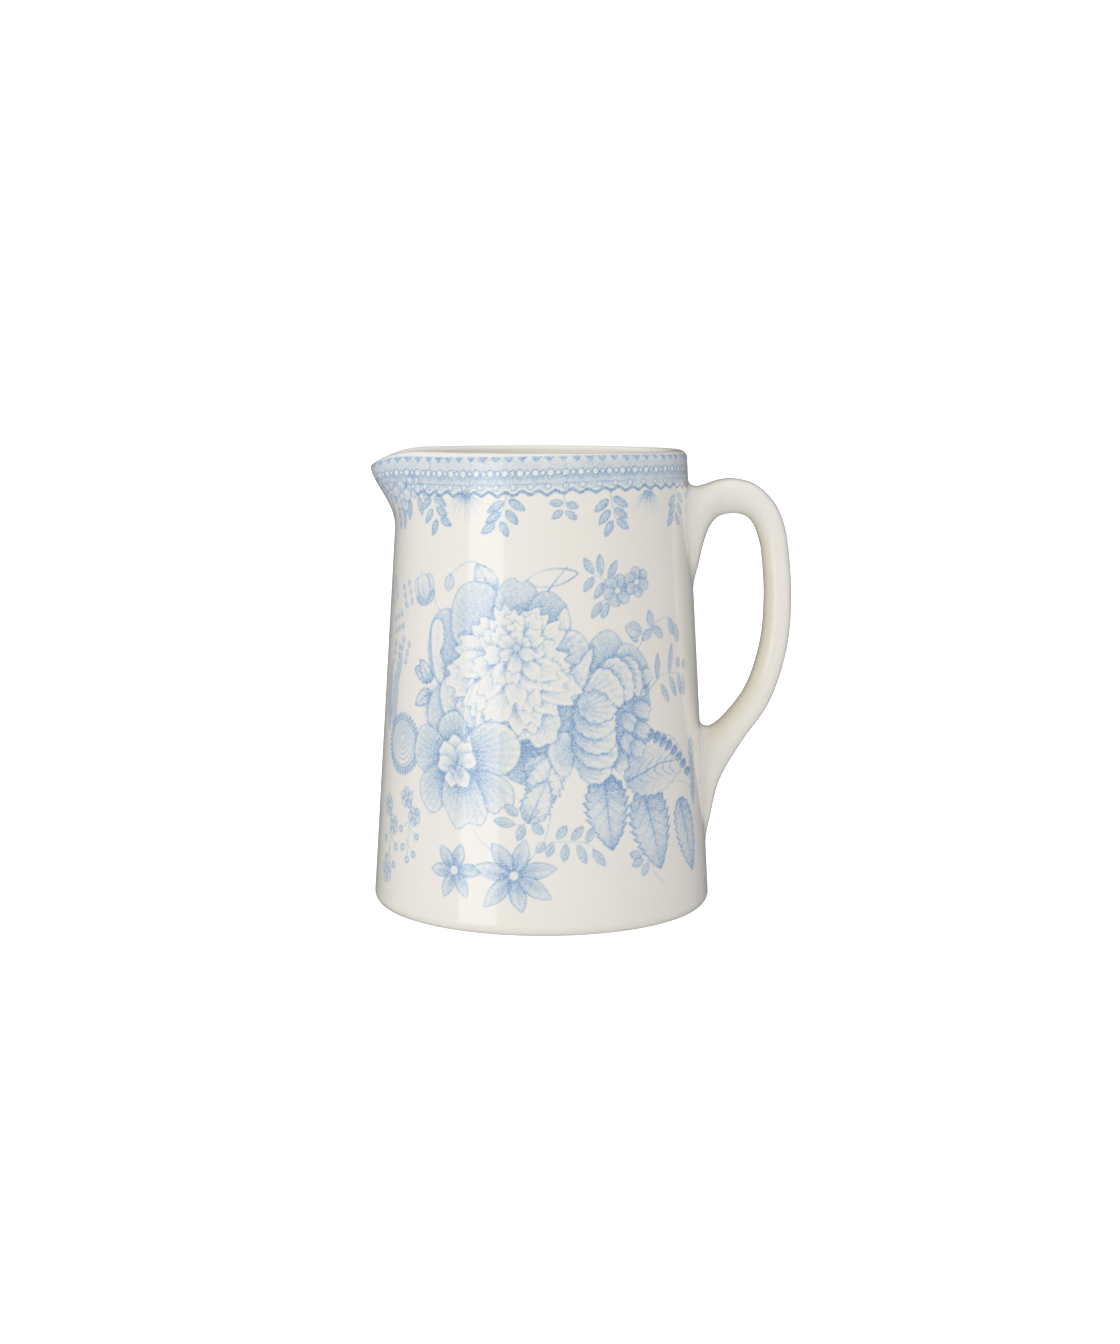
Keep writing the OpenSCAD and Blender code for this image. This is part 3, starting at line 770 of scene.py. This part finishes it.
class Mesh:
    """Collects points and faces, with each corner's place on the flat map for baking, and makes a Blender mesh."""

    def __init__(self):
        self.points, self.faces, self.slots, self.maps, self.count = [], [], [], [], 0

    def add(self, points):
        first = self.count
        self.points.append(np.asarray(points, float))
        self.count += len(points)
        return np.arange(first, self.count)

    def face(self, corners, slot, uv):
        self.faces.append(corners)
        self.slots.append(np.full(len(corners), slot))
        self.maps.append(uv)

    def strip(self, a, b, slot, place, sa, sb):
        """Quads between two closed rings; place maps turns and a run from 0 to 1 onto the flat map."""
        n = len(a)
        t0, t1 = np.arange(n) / n, (np.arange(n) + 1) / n
        turn = np.stack([t0, t1, t1, t0], 1)
        run = np.tile([sa, sa, sb, sb], (n, 1))
        self.face(np.stack([a, np.roll(a, -1), np.roll(b, -1), b], 1), slot, place(turn, run))

    def step(self, fine, coarse, slot, place, s_fine, s_coarse, fine_first=True):
        """Faces between a fine ring and a coarse one, each with all the fine edges along its side."""
        n = len(coarse)
        k = len(fine) // n
        t0 = np.arange(n) / n
        corners = [np.roll(fine, -i)[::k] for i in range(k + 1)] + [np.roll(coarse, -1), coarse]
        turn = [t0 + i / (k * n) for i in range(k + 1)] + [t0 + 1 / n, t0]
        run = [s_fine] * (k + 1) + [s_coarse] * 2
        if not fine_first:
            corners, turn, run = corners[::-1], turn[::-1], run[::-1]
        self.face(np.stack(corners, 1), slot, place(np.stack(turn, 1), np.tile(run, (n, 1))))

    def fan(self, ring, centre, slot, place, s_ring, flip=False):
        """Triangles from a closed ring to its centre, where the run is 0."""
        n = len(ring)
        t0 = np.arange(n) / n
        turn = np.stack([t0, t0 + 1 / n, t0 + 0.5 / n], 1)
        corners = np.stack([ring, np.roll(ring, -1), np.full(n, centre)], 1)
        run = np.tile([s_ring, s_ring, 0], (n, 1))
        if flip:
            corners, turn, run = corners[:, ::-1], turn[:, ::-1], run[:, ::-1]
        self.face(corners, slot, place(turn, run))

    def build(self, name, materials):
        me = bpy.data.meshes.new(name)
        co = np.concatenate(self.points)
        sizes = np.concatenate([np.full(len(f), f.shape[1]) for f in self.faces])
        corners = np.concatenate([f.ravel() for f in self.faces])
        me.vertices.add(len(co))
        me.vertices.foreach_set("co", co.ravel())
        me.loops.add(len(corners))
        me.loops.foreach_set("vertex_index", corners.astype(np.int32))
        me.polygons.add(len(sizes))
        me.polygons.foreach_set("loop_start", np.r_[0, np.cumsum(sizes)[:-1]].astype(np.int32))
        for m in materials:
            me.materials.append(m)
        me.polygons.foreach_set("material_index", np.concatenate(self.slots).astype(np.int32))
        me.update(calc_edges=True)
        me.shade_smooth()
        uv = np.concatenate([m.reshape(-1, 2) for m in self.maps])
        me.uv_layers.new(name="OFBake").data.foreach_set("uv", uv.ravel())
        obj = bpy.data.objects.new(name, me)
        bpy.context.scene.collection.objects.link(obj)
        return obj, co


# Where each part of a mesh lies on the flat map
EDGE = 0.004
DISC_U, DISC_R, BELOW_V, FLOOR_V = 0.89, 0.098, 0.895, 0.69
FLOOR_REACH = 36  # mm from the axis to the rim of the floor's disc on the map


def on_halves(turn, run):
    """The printed wall: its front half above its back half."""
    first = np.floor((turn.min(1, keepdims=True) + 0.25 + 1e-9) * 2) / 2
    within = (turn + 0.25 - first) * 2
    row = np.where(first % 1.0 < 0.25, 1.0, 0.0)
    u = EDGE + 0.768 * within
    v = EDGE + row * 0.5 + (0.5 - 2 * EDGE) * run
    return np.stack([u, v + 0 * u], -1)


def on_strip(left, right, high):
    """A band: its run goes across, its turn goes up."""
    return lambda turn, run: np.stack([left + (right - left) * run, EDGE + (high - EDGE) * turn], -1)


def on_disc(u, v, radius):
    """A disc: its run goes from the middle outwards."""
    return lambda turn, run: np.stack([u + radius * run * np.cos(2 * np.pi * turn),
                                       v + radius * run * np.sin(2 * np.pi * turn)], -1)


def make_body(canvas, materials):
    """The hollow body as one closed mesh: foot, printed wall, rim, inside and floor."""
    m = Mesh()
    fine, coarse = np.arange(COLS) * 360.0 / COLS, np.arange(COARSE) * 360.0 / COARSE
    print_slot, plain_slot, bare_slot, inner_slot = 0, 1, 2, 3
    top = HEIGHT - RIM_ROUND
    edge_r = wall_r(FOOT_ROUND) - FOOT_ROUND
    ring_r = edge_r - FOOT_RING
    below = on_disc(DISC_U, BELOW_V, DISC_R)
    floor_map = on_disc(DISC_U, FLOOR_V, DISC_R)
    share = 1 / edge_r
    # under the foot, from the axis out to the ring it stands on
    centre = m.add([(0, 0, FOOT_RECESS * MM)])[0]
    under = [(8, FOOT_RECESS), (16, FOOT_RECESS), (24, FOOT_RECESS), (ring_r - 2.4, FOOT_RECESS),
             (ring_r - 1.5, FOOT_RECESS - 0.12), (ring_r - 0.9, FOOT_RECESS - 0.5), (ring_r - 0.5, 0.7),
             (ring_r - 0.2, 0.25), (ring_r + 0.15, 0.05), (ring_r + 0.5, 0.0), (edge_r - 1.0, 0.0)]
    ring, before = m.add(ring_points(*under[0], coarse)), under[0][0]
    m.fan(ring, centre, plain_slot, below, before * share, flip=True)
    for r, z in under[1:]:
        nxt = m.add(ring_points(r, z, coarse))
        m.strip(ring, nxt, bare_slot if r > ring_r else plain_slot, below, before * share, r * share)
        ring, before = nxt, r
    nxt = m.add(ring_points(edge_r, 0.0, fine))
    m.step(nxt, ring, bare_slot, below, 1, before * share, fine_first=False)
    ring = nxt
    # the outside: foot rounding, printed wall, rim
    low = quarter(edge_r, FOOT_ROUND, FOOT_ROUND, -90, 0, 10)[:-1]
    wall = []
    for z in canvas.z:
        over = max(0.0, z - top) / RIM_ROUND
        wall.append((wall_r(min(z, top)) - RIM_ROUND * (1 - math.sqrt(1 - over * over)), z))
    last = math.degrees(math.asin((PRINT_TOP - top) / RIM_ROUND))
    rim = quarter(wall_r(top) - RIM_ROUND, top, RIM_ROUND, last, 90, 6)
    in_top = HEIGHT - RIM_ROUND_IN
    rim += quarter(wall_r(in_top) - WALL + RIM_ROUND_IN, in_top, RIM_ROUND_IN, 90, 180, 8)
    profile = np.array([(edge_r, 0.0)] + low + wall + rim)
    run = np.r_[0, np.cumsum(np.hypot(*np.diff(profile, axis=0).T))]
    run /= run[-1]
    first_row = None
    for i, (r, z) in enumerate(profile[1:]):
        nxt = m.add(ring_points(r, z, fine))
        if i == len(low):
            first_row = nxt[0]
        m.strip(ring, nxt, bare_slot if i < 2 else print_slot, on_halves, run[i], run[i + 1])
        ring = nxt
    # the inside
    curve_z = FOOT_RECESS + FLOOR + FLOOR_CURVE
    heights = np.concatenate([np.linspace(in_top - 0.6, 84, 18), np.linspace(78, curve_z, 12)])
    inner = [(wall_r(z) - WALL, z) for z in heights]
    inner += quarter(wall_r(curve_z) - WALL - FLOOR_CURVE, curve_z, FLOOR_CURVE, 0, -90, 12)
    inner += [(20, FOOT_RECESS + FLOOR), (10, FOOT_RECESS + FLOOR)]
    along = on_strip(0.785, 0.995, 0.575)
    for i, (r, z) in enumerate(inner):
        nxt = m.add(ring_points(r, z, coarse))
        if i == 0:
            m.step(ring, nxt, inner_slot, along, 0, 1 / len(inner))
        elif i < len(heights) + 6:
            m.strip(ring, nxt, inner_slot, along, i / len(inner), (i + 1) / len(inner))
        else:
            m.strip(ring, nxt, inner_slot, floor_map, inner[i - 1][0] / FLOOR_REACH, r / FLOOR_REACH)
        ring = nxt
    middle = m.add([(0, 0, (FOOT_RECESS + FLOOR) * MM)])[0]
    m.fan(ring, middle, inner_slot, floor_map, inner[-1][0] / FLOOR_REACH)
    obj, co = m.build("jug_body_glazed", materials)
    ink = np.zeros(len(co), np.float32)
    ink[first_row:first_row + canvas.ink.size] = canvas.ink.ravel()
    obj.data.attributes.new("ink", "FLOAT", "POINT").data.foreach_set("value", ink)
    return obj


# ---------------------------------------------------------------- the handle's mesh

# Inner edge's stand-off from the wall and height, outer edge's, and the width as a multiple of the strap's.
STATIONS = (
    (-3.1, 68.0, -2.0, 93.6, 1.72), (-0.2, 72.0, 1.1, 93.8, 1.64), (1.4, 76.6, 2.7, 94.1, 1.50),
    (2.5, 80.6, 4.4, 94.6, 1.35), (3.9, 84.2, 6.1, 95.2, 1.22), (6.0, 86.9, 7.9, 95.6, 1.11),
    (8.9, 87.8, 10.2, 95.7, 1.04), (12.0, 87.5, 14.2, 94.8, 1.01), (14.0, 85.7, 17.4, 92.4, 1),
    (15.1, 82.6, 20.1, 88.4, 1), (15.7, 78.6, 21.6, 81.6, 1), (15.8, 69.4, 21.9, 69.4, 1),
    (14.5, 59.2, 20.4, 57.6, 1), (10.9, 49.2, 16.0, 45.6, 1.01), (5.6, 42.3, 9.0, 36.0, 1.10),
    (1.9, 39.6, 3.8, 27.6, 1.27), (-0.4, 39.6, 1.2, 18.8, 1.30), (-1.7, 39.8, -0.1, 14.0, 1.18),
    (-3.7, 40.0, -2.6, 8.0, 0.95),
)
STRAP_HALF = 4.6
SQUARENESS = 2.35
AROUND, ALONG, PER_STATION = 72, 150, 11
# Radius of the hollow curve at a root, and how deep its end is sunk in the wall
ROOT_CURVE, ROOT_SUNK = 2.2, 1.3
CAP_U, CAP_R = 0.925, 0.06


def strap_rings():
    """Rings of the strap's section all along it, in mm."""
    s = np.array(STATIONS, float)
    placed = np.stack([wall_r(s[:, 1]) + s[:, 0], s[:, 1], wall_r(s[:, 3]) + s[:, 2], s[:, 3],
                       s[:, 4] * STRAP_HALF], 1)
    a = 2 * np.pi * np.arange(AROUND) / AROUND
    power = 2 / SQUARENESS
    c = np.sign(np.cos(a)) * np.abs(np.cos(a)) ** power
    q = c + 0.2 * (1 - c * c)
    y = np.sign(np.sin(a)) * np.abs(np.sin(a)) ** power
    rings = []
    for xi, zi, xo, zo, half in through(placed, PER_STATION):
        rings.append(np.stack([(xi + xo) / 2 + q * (xo - xi) / 2, half * y, (zi + zo) / 2 + q * (zo - zi) / 2], 1))
    return np.array(rings)


def off_wall(p):
    """How far points stand off the body's wall."""
    return np.hypot(p[..., 0], p[..., 1]) - wall_r(p[..., 2])


def root_skirt(line, normal, radius):
    """The curve from the strap's skin down onto the wall at one root: line runs from the free strap into the wall."""
    gap = off_wall(line)
    k = int(np.nonzero(gap < 0)[0][0])
    f = gap[k - 1] / (gap[k - 1] - gap[k])
    meet = line[k - 1] + f * (line[k] - line[k - 1])
    lengths = np.r_[0, np.cumsum(np.linalg.norm(np.diff(line[:k][::-1], axis=0), axis=1))]
    lengths = lengths + np.linalg.norm(meet - line[k - 1])
    back = int(np.argmax(lengths >= radius)) if lengths[-1] >= radius else len(lengths) - 1
    start = line[:k][::-1][back]
    out = np.array([meet[0], meet[1], 0]) / math.hypot(meet[0], meet[1])
    along = normal - out * (normal @ out)
    n = np.linalg.norm(along)
    along = along / n if n > 1e-6 else np.zeros(3)
    end = meet + along * radius
    flat = math.hypot(end[0], end[1])
    end[:2] *= (wall_r(end[2]) - 0.03) / flat
    points = []
    for t in np.linspace(0, 1, 9):
        points.append((1 - t) ** 2 * start + 2 * t * (1 - t) * meet + t * t * end)
    return k - 1 - back, points


def make_handle(materials):
    """The strap, with a small hollow curve where each root meets the wall, closed inside the wall."""
    rings = strap_rings()
    du = np.roll(rings, -1, 1) - np.roll(rings, 1, 1)
    dv = np.gradient(rings, axis=0)
    normals = np.cross(du, dv)
    normals /= np.linalg.norm(normals, axis=2, keepdims=True)
    centre = rings.mean(1, keepdims=True)
    if ((rings - centre) * normals).sum() < 0:
        normals = -normals
    half = len(rings) // 2
    ends = []
    for upper in (True, False):
        cuts, skirts = [], []
        for j in range(AROUND):
            line = rings[:half, j][::-1] if upper else rings[half:, j]
            gap = off_wall(line)
            k = int(np.nonzero(gap < 0)[0][0])
            row = half - 1 - k if upper else half + k
            at, points = root_skirt(line, normals[row, j], ROOT_CURVE)
            cuts.append(at)
            skirts.append(points)
        ends.append((cuts, np.array(skirts)))
    m = Mesh()
    # the free strap between the two skirts: each line is cut at its own place and spread evenly
    grid = np.zeros((ALONG, AROUND, 3))
    for j in range(AROUND):
        hi = half - 1 - ends[0][0][j]
        lo = half + ends[1][0][j]
        line = rings[hi:lo + 1, j]
        s = np.r_[0, np.cumsum(np.linalg.norm(np.diff(line, axis=0), axis=1))]
        grid[:, j] = np.stack([np.interp(np.linspace(0, s[-1], ALONG), s, line[:, k]) for k in range(3)], 1)
    upper = ends[0][1][:, ::-1][:, :-1].transpose(1, 0, 2)
    lower = ends[1][1][:, 1:].transpose(1, 0, 2)
    skin = np.concatenate([upper, grid, lower])

    def sunk(ring):
        inner = ring.copy()
        r = np.hypot(inner[:, 0], inner[:, 1])
        inner[:, :2] *= ((r - ROOT_SUNK) / r)[:, None]
        return inner
    skin = np.concatenate([sunk(skin[0])[None], skin, sunk(skin[-1])[None]])
    ids = [m.add(ring * MM) for ring in skin]
    sleeve = on_strip(EDGE, 0.85, 1 - EDGE)
    for i in range(len(ids) - 1):
        m.strip(ids[i + 1], ids[i], 0, sleeve, (i + 1) / (len(ids) - 1), i / (len(ids) - 1))
    for ring, points, flip, v in ((ids[0], skin[0], False, 0.75), (ids[-1], skin[-1], True, 0.25)):
        mid = points.mean(0)
        mid[0] = wall_r(mid[2]) - 1.6
        mid[1] = 0
        c = m.add([mid * MM])[0]
        m.fan(ring, c, 0, on_disc(CAP_U, v, CAP_R), 1, flip=flip)
    obj, _ = m.build("handle_glazed", materials)
    return obj


# ---------------------------------------------------------------- materials


def nodes_of(name):
    mat = bpy.data.materials.new(name)
    mat.use_nodes = True
    nt = mat.node_tree
    return mat, nt, nt.nodes["Principled BSDF"]


def noise(nt, coords, scale, detail=2.0, rough=0.5):
    n = nt.nodes.new("ShaderNodeTexNoise")
    n.inputs["Scale"].default_value = scale
    n.inputs["Detail"].default_value = detail
    n.inputs["Roughness"].default_value = rough
    nt.links.new(coords, n.inputs["Vector"])
    return n.outputs["Fac"]


def ranged(nt, value, low, high, a, b):
    """value, from low to high, mapped to a to b."""
    n = nt.nodes.new("ShaderNodeMapRange")
    for k, v in zip(("From Min", "From Max", "To Min", "To Max"), (low, high, a, b)):
        n.inputs[k].default_value = v
    nt.links.new(value, n.inputs["Value"])
    return n.outputs["Result"]


def raised(nt, value, power):
    """value to a power."""
    n = nt.nodes.new("ShaderNodeMath")
    n.operation = "POWER"
    n.inputs[1].default_value = power
    nt.links.new(value, n.inputs[0])
    return n.outputs[0]


def mixed(nt, factor, a, b, blend="MIX"):
    n = nt.nodes.new("ShaderNodeMix")
    n.data_type = "RGBA"
    n.blend_type = blend
    n.clamp_factor = True
    n.clamp_result = False
    if isinstance(factor, float):
        n.inputs["Factor"].default_value = factor
    else:
        nt.links.new(factor, n.inputs["Factor"])
    for socket, v in ((n.inputs[6], a), (n.inputs[7], b)):
        if isinstance(v, tuple):
            socket.default_value = (*v, 1)
        else:
            nt.links.new(v, socket)
    return n.outputs[2]


CREAM = (0.805, 0.780, 0.698)
CREAM_WARM = (0.805, 0.774, 0.664)
CREAM_COOL = (0.785, 0.771, 0.715)
# painted light: the inside's glaze is brightened to stand in for light that the lamps leave too dim there
INSIDE_PAINTED_LIGHT = (1.14, 1.13, 1.11)
SPECK, SPECK_STRENGTH = (0.52, 0.47, 0.38), 0.12
INK_DEEP = (0.24, 0.41, 0.72, 1)
INK_STEPS = ((0.20, (0.79, 0.880, 0.985)), (0.50, (0.535, 0.695, 0.910)), (0.75, (0.375, 0.555, 0.835)))
# painted shade: the side of the handle that faces the wall is tinted darker and warmer, standing in for the dim,
# cream-coloured light bounced onto it from the body
PAINTED_SHADE_SIDE = (-0.85, 0.0, 0.53)
PAINTED_SHADE_TINT = (0.96, 0.925, 0.80)


def glaze(name, printed, painted_light=(1, 1, 1), painted_shade=False):
    """China under a clear glaze.

    A printed one takes its blue from the mesh's ink, broken up into fine stipple. The china can be brightened with
    painted light where the lamps leave it too dim. It can also take a painted shade, darker and warmer, on the side
    that faces the body.
    """
    mat, nt, p = nodes_of(name)
    new, link = nt.nodes.new, nt.links.new
    where = new("ShaderNodeTexCoord").outputs["Object"]
    cloud = ranged(nt, noise(nt, where, 28, 2), 0.35, 0.65, 0, 1)
    body = mixed(nt, cloud, CREAM_WARM, CREAM_COOL)
    body = mixed(nt, 0.62, body, CREAM)
    speck = ranged(nt, noise(nt, where, 900, 0), 0.80, 0.88, 0, SPECK_STRENGTH)
    body = mixed(nt, speck, body, SPECK)
    # painted light: a brighter copy of the china
    if painted_light != (1, 1, 1):
        body = mixed(nt, 1.0, body, painted_light, "MULTIPLY")
    # painted shade: darker and warmer on the side of the handle that faces the body
    if painted_shade:
        facing = new("ShaderNodeVectorMath")
        facing.operation = "DOT_PRODUCT"
        facing.inputs[1].default_value = PAINTED_SHADE_SIDE
        link(new("ShaderNodeNewGeometry").outputs["Normal"], facing.inputs[0])
        wall_side_shade = mixed(nt, ranged(nt, facing.outputs["Value"], 0.1, 0.95, 0, 1), (1.0, 1.0, 1.0), PAINTED_SHADE_TINT)
        body = mixed(nt, 1.0, body, wall_side_shade, "MULTIPLY")
    if printed:
        ink = new("ShaderNodeAttribute")
        ink.attribute_name = "ink"
        ramp = new("ShaderNodeValToRGB")
        e = ramp.color_ramp.elements
        e[0].position, e[0].color = 0.0, (1, 1, 1, 1)
        e[1].position, e[1].color = 1.0, INK_DEEP
        for at, colour in INK_STEPS:
            e.new(at).color = (*colour, 1)
        dots = new("ShaderNodeMath")
        dots.operation = "MULTIPLY"
        link(ink.outputs["Fac"], dots.inputs[0])
        link(ranged(nt, noise(nt, where, 3200, 1), 0.35, 0.65, 0.58, 1.42), dots.inputs[1])
        link(dots.outputs[0], ramp.inputs["Fac"])
        body = mixed(nt, 1.0, body, ramp.outputs["Color"], "MULTIPLY")
    link(body, p.inputs["Base Color"])
    link(ranged(nt, noise(nt, where, 160, 2), 0.3, 0.7, 0.16, 0.24), p.inputs["Roughness"])
    p.inputs["IOR"].default_value = 1.5
    p.inputs["Coat Weight"].default_value = 1.0
    p.inputs["Coat Roughness"].default_value = 0.03
    p.inputs["Coat IOR"].default_value = 1.5
    p.inputs["Specular IOR Level"].default_value = 0.25
    bump = new("ShaderNodeBump")
    bump.inputs["Strength"].default_value = 0.12
    bump.inputs["Distance"].default_value = 0.0002
    link(noise(nt, where, 260, 1.5), bump.inputs["Height"])
    link(bump.outputs["Normal"], p.inputs["Normal"])
    link(bump.outputs["Normal"], p.inputs["Coat Normal"])
    return mat


def bare_china(name):
    """The foot ring, wiped free of glaze: dry, a little darker and rubbed grey on its high edge."""
    mat, nt, p = nodes_of(name)
    new, link = nt.nodes.new, nt.links.new
    where = new("ShaderNodeTexCoord").outputs["Object"]
    rub = ranged(nt, noise(nt, where, 220, 4, 0.6), 0.45, 0.70, 0, 0.6)
    grain = ranged(nt, noise(nt, where, 1500, 2), 0.3, 0.7, 0, 1)
    body = mixed(nt, grain, (0.70, 0.66, 0.58), (0.78, 0.74, 0.66))
    link(mixed(nt, rub, body, (0.50, 0.47, 0.42)), p.inputs["Base Color"])
    link(ranged(nt, grain, 0, 1, 0.75, 0.9), p.inputs["Roughness"])
    bump = new("ShaderNodeBump")
    bump.inputs["Strength"].default_value = 0.4
    bump.inputs["Distance"].default_value = 0.0001
    link(noise(nt, where, 1500, 2), bump.inputs["Height"])
    link(bump.outputs["Normal"], p.inputs["Normal"])
    return mat


# ---------------------------------------------------------------- stage, light and camera


def glow(name, colour, strength):
    mat = bpy.data.materials.new(name)
    mat.use_nodes = True
    nt = mat.node_tree
    nt.nodes.clear()
    out = nt.nodes.new("ShaderNodeOutputMaterial")
    em = nt.nodes.new("ShaderNodeEmission")
    em.inputs["Color"].default_value = (*colour, 1)
    em.inputs["Strength"].default_value = strength
    nt.links.new(em.outputs[0], out.inputs["Surface"])
    return mat


def soft_box(name, azimuth, distance, wide, low, high, corner, strength, colour=(1, 1, 1)):
    """A glowing panel with rounded corners that faces the jug. azimuth is from -Y towards the handle."""
    outline = []
    for cx, cz, start in ((wide / 2 - corner, high - corner, 0), (-wide / 2 + corner, high - corner, 90),
                          (-wide / 2 + corner, low + corner, 180), (wide / 2 - corner, low + corner, 270)):
        for i in range(9):
            a = math.radians(start + i * 90 / 8)
            outline.append((cx + corner * math.cos(a), 0.0, cz + corner * math.sin(a)))
    me = bpy.data.meshes.new(name)
    me.from_pydata(outline, [], [list(range(len(outline)))])
    me.materials.append(glow(name, colour, strength))
    obj = bpy.data.objects.new(name, me)
    bpy.context.scene.collection.objects.link(obj)
    a = math.radians(azimuth)
    place = (distance * math.sin(a), -distance * math.cos(a), 0)
    obj.matrix_world = Matrix.Translation(place) @ Matrix.Rotation(a, 4, "Z")
    obj.visible_camera = False
    return obj


def make_floor():
    me = bpy.data.meshes.new("floor")
    turns = [2 * math.pi * i / FLOOR_SIDES for i in range(FLOOR_SIDES)]
    rim = [(FLOOR_RADIUS * math.cos(a), FLOOR_RADIUS * math.sin(a), 0) for a in turns]
    me.from_pydata(rim, [], [list(range(FLOOR_SIDES))])
    mat, nt, p = nodes_of("floor_white")
    new, link = nt.nodes.new, nt.links.new
    p.inputs["Base Color"].default_value = (FLOOR_GREY, FLOOR_GREY, FLOOR_GREY, 1)
    p.inputs["Roughness"].default_value = 0.9
    p.inputs["Emission Color"].default_value = (1, 1, 1, 1)
    path = new("ShaderNodeLightPath")
    link(ranged(nt, path.outputs["Is Camera Ray"], 0, 1, FLOOR_FILL, FLOOR_GLOW), p.inputs["Emission Strength"])
    me.materials.append(mat)
    obj = bpy.data.objects.new("floor", me)
    bpy.context.scene.collection.objects.link(obj)
    obj.visible_glossy = False


FLOOR_RADIUS, FLOOR_SIDES, FLOOR_GREY = 3, 96, 0.61
FLOOR_GLOW = 0.85
FLOOR_FILL = 0.30
ROOM_LOW = (0.100, 0.094, 0.106)
ROOM_HIGH = (1.60, 1.57, 1.70)
ROOM_POWER = 2.0
KEY_COLOUR = (1.63, 1.65, 1.61)
KEY_AZIMUTH = -25
KEY_POWER = 2.4
SHEEN = 0.42
BEHIND = 0.5


def make_world():
    """A white room, brightest in front and to the left of the jug; plain white wherever the camera sees it."""
    world = bpy.data.worlds.new("studio")
    bpy.context.scene.world = world
    world.use_nodes = True
    nt = world.node_tree
    new, link = nt.nodes.new, nt.links.new
    nt.nodes.clear()
    out = new("ShaderNodeOutputWorld")
    light = new("ShaderNodeBackground")
    white = new("ShaderNodeBackground")
    white.inputs["Color"].default_value = (1, 1, 1, 1)
    white.inputs["Strength"].default_value = 1.05
    where = new("ShaderNodeTexCoord").outputs["Generated"]
    split = new("ShaderNodeSeparateXYZ")
    link(where, split.inputs[0])
    up = raised(nt, ranged(nt, split.outputs["Z"], 0, 1, 0, 1), ROOM_POWER)
    room = mixed(nt, up, ROOM_LOW, ROOM_HIGH)
    ahead = new("ShaderNodeVectorMath")
    ahead.operation = "DOT_PRODUCT"
    a = math.radians(KEY_AZIMUTH)
    ahead.inputs[1].default_value = (math.sin(a), -math.cos(a), 0)
    link(where, ahead.inputs[0])
    lobe = raised(nt, ranged(nt, ahead.outputs["Value"], 0, 1, 0, 1), KEY_POWER)
    key = mixed(nt, lobe, (0.0, 0.0, 0.0), KEY_COLOUR)
    lit = mixed(nt, 1.0, room, key, "ADD")
    # in the glaze the room is seen dimmer than the light that it gives, and dimmest behind the jug
    path = new("ShaderNodeLightPath")
    behind = ranged(nt, split.outputs["Y"], 0.35, 0.9, SHEEN, SHEEN * BEHIND)
    link(mixed(nt, path.outputs["Is Glossy Ray"], lit, behind), light.inputs["Color"])
    pick = new("ShaderNodeMixShader")
    link(path.outputs["Is Camera Ray"], pick.inputs["Fac"])
    link(light.outputs[0], pick.inputs[1])
    link(white.outputs[0], pick.inputs[2])
    link(pick.outputs[0], out.inputs["Surface"])


LENS, CAMERA_SHIFT = 57.86, 0.0132
CAMERA_PLACE = (0, -0.484, 0.116)
CAMERA_DOWN, CAMERA_ROLL = 7.55, 0.2


def make_camera():
    data = bpy.data.cameras.new("camera")
    data.sensor_width = 36
    data.lens = LENS
    data.shift_x = CAMERA_SHIFT
    cam = bpy.data.objects.new("camera", data)
    bpy.context.scene.collection.objects.link(cam)
    cam.matrix_world = (Matrix.Translation(CAMERA_PLACE)
                        @ Matrix.Rotation(math.radians(90 - CAMERA_DOWN), 4, "X")
                        @ Matrix.Rotation(math.radians(CAMERA_ROLL), 4, "Z"))
    data.clip_start = 0.01
    bpy.context.scene.camera = cam


# ---------------------------------------------------------------- the scene

make_camera()
canvas = paint()
printed = glaze("printed_glaze", True)
plain = glaze("plain_glaze", False)
# the handle's glaze, with painted shade on its side towards the body
painted_shade = glaze("handle_glaze_painted_shade", False, painted_shade=True)
# the inside's glaze, brightened with painted light
inner = glaze("inner_glaze_painted_light", False, INSIDE_PAINTED_LIGHT)
bare = bare_china("bare_foot")
body = make_body(canvas, [printed, plain, bare, inner])
handle = make_handle([painted_shade])
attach(body, "root")
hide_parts("jug_body")
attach(handle, "root")
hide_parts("handle")
make_floor()
make_world()
soft_box("key_box", azimuth=-42.9, distance=0.9, wide=0.436, low=-0.2, high=0.172, corner=0.03, strength=1.9,
         colour=(1, 1.02, 1.15))
scene = bpy.context.scene
scene.view_settings.view_transform = "Standard"
scene.view_settings.look = "None"
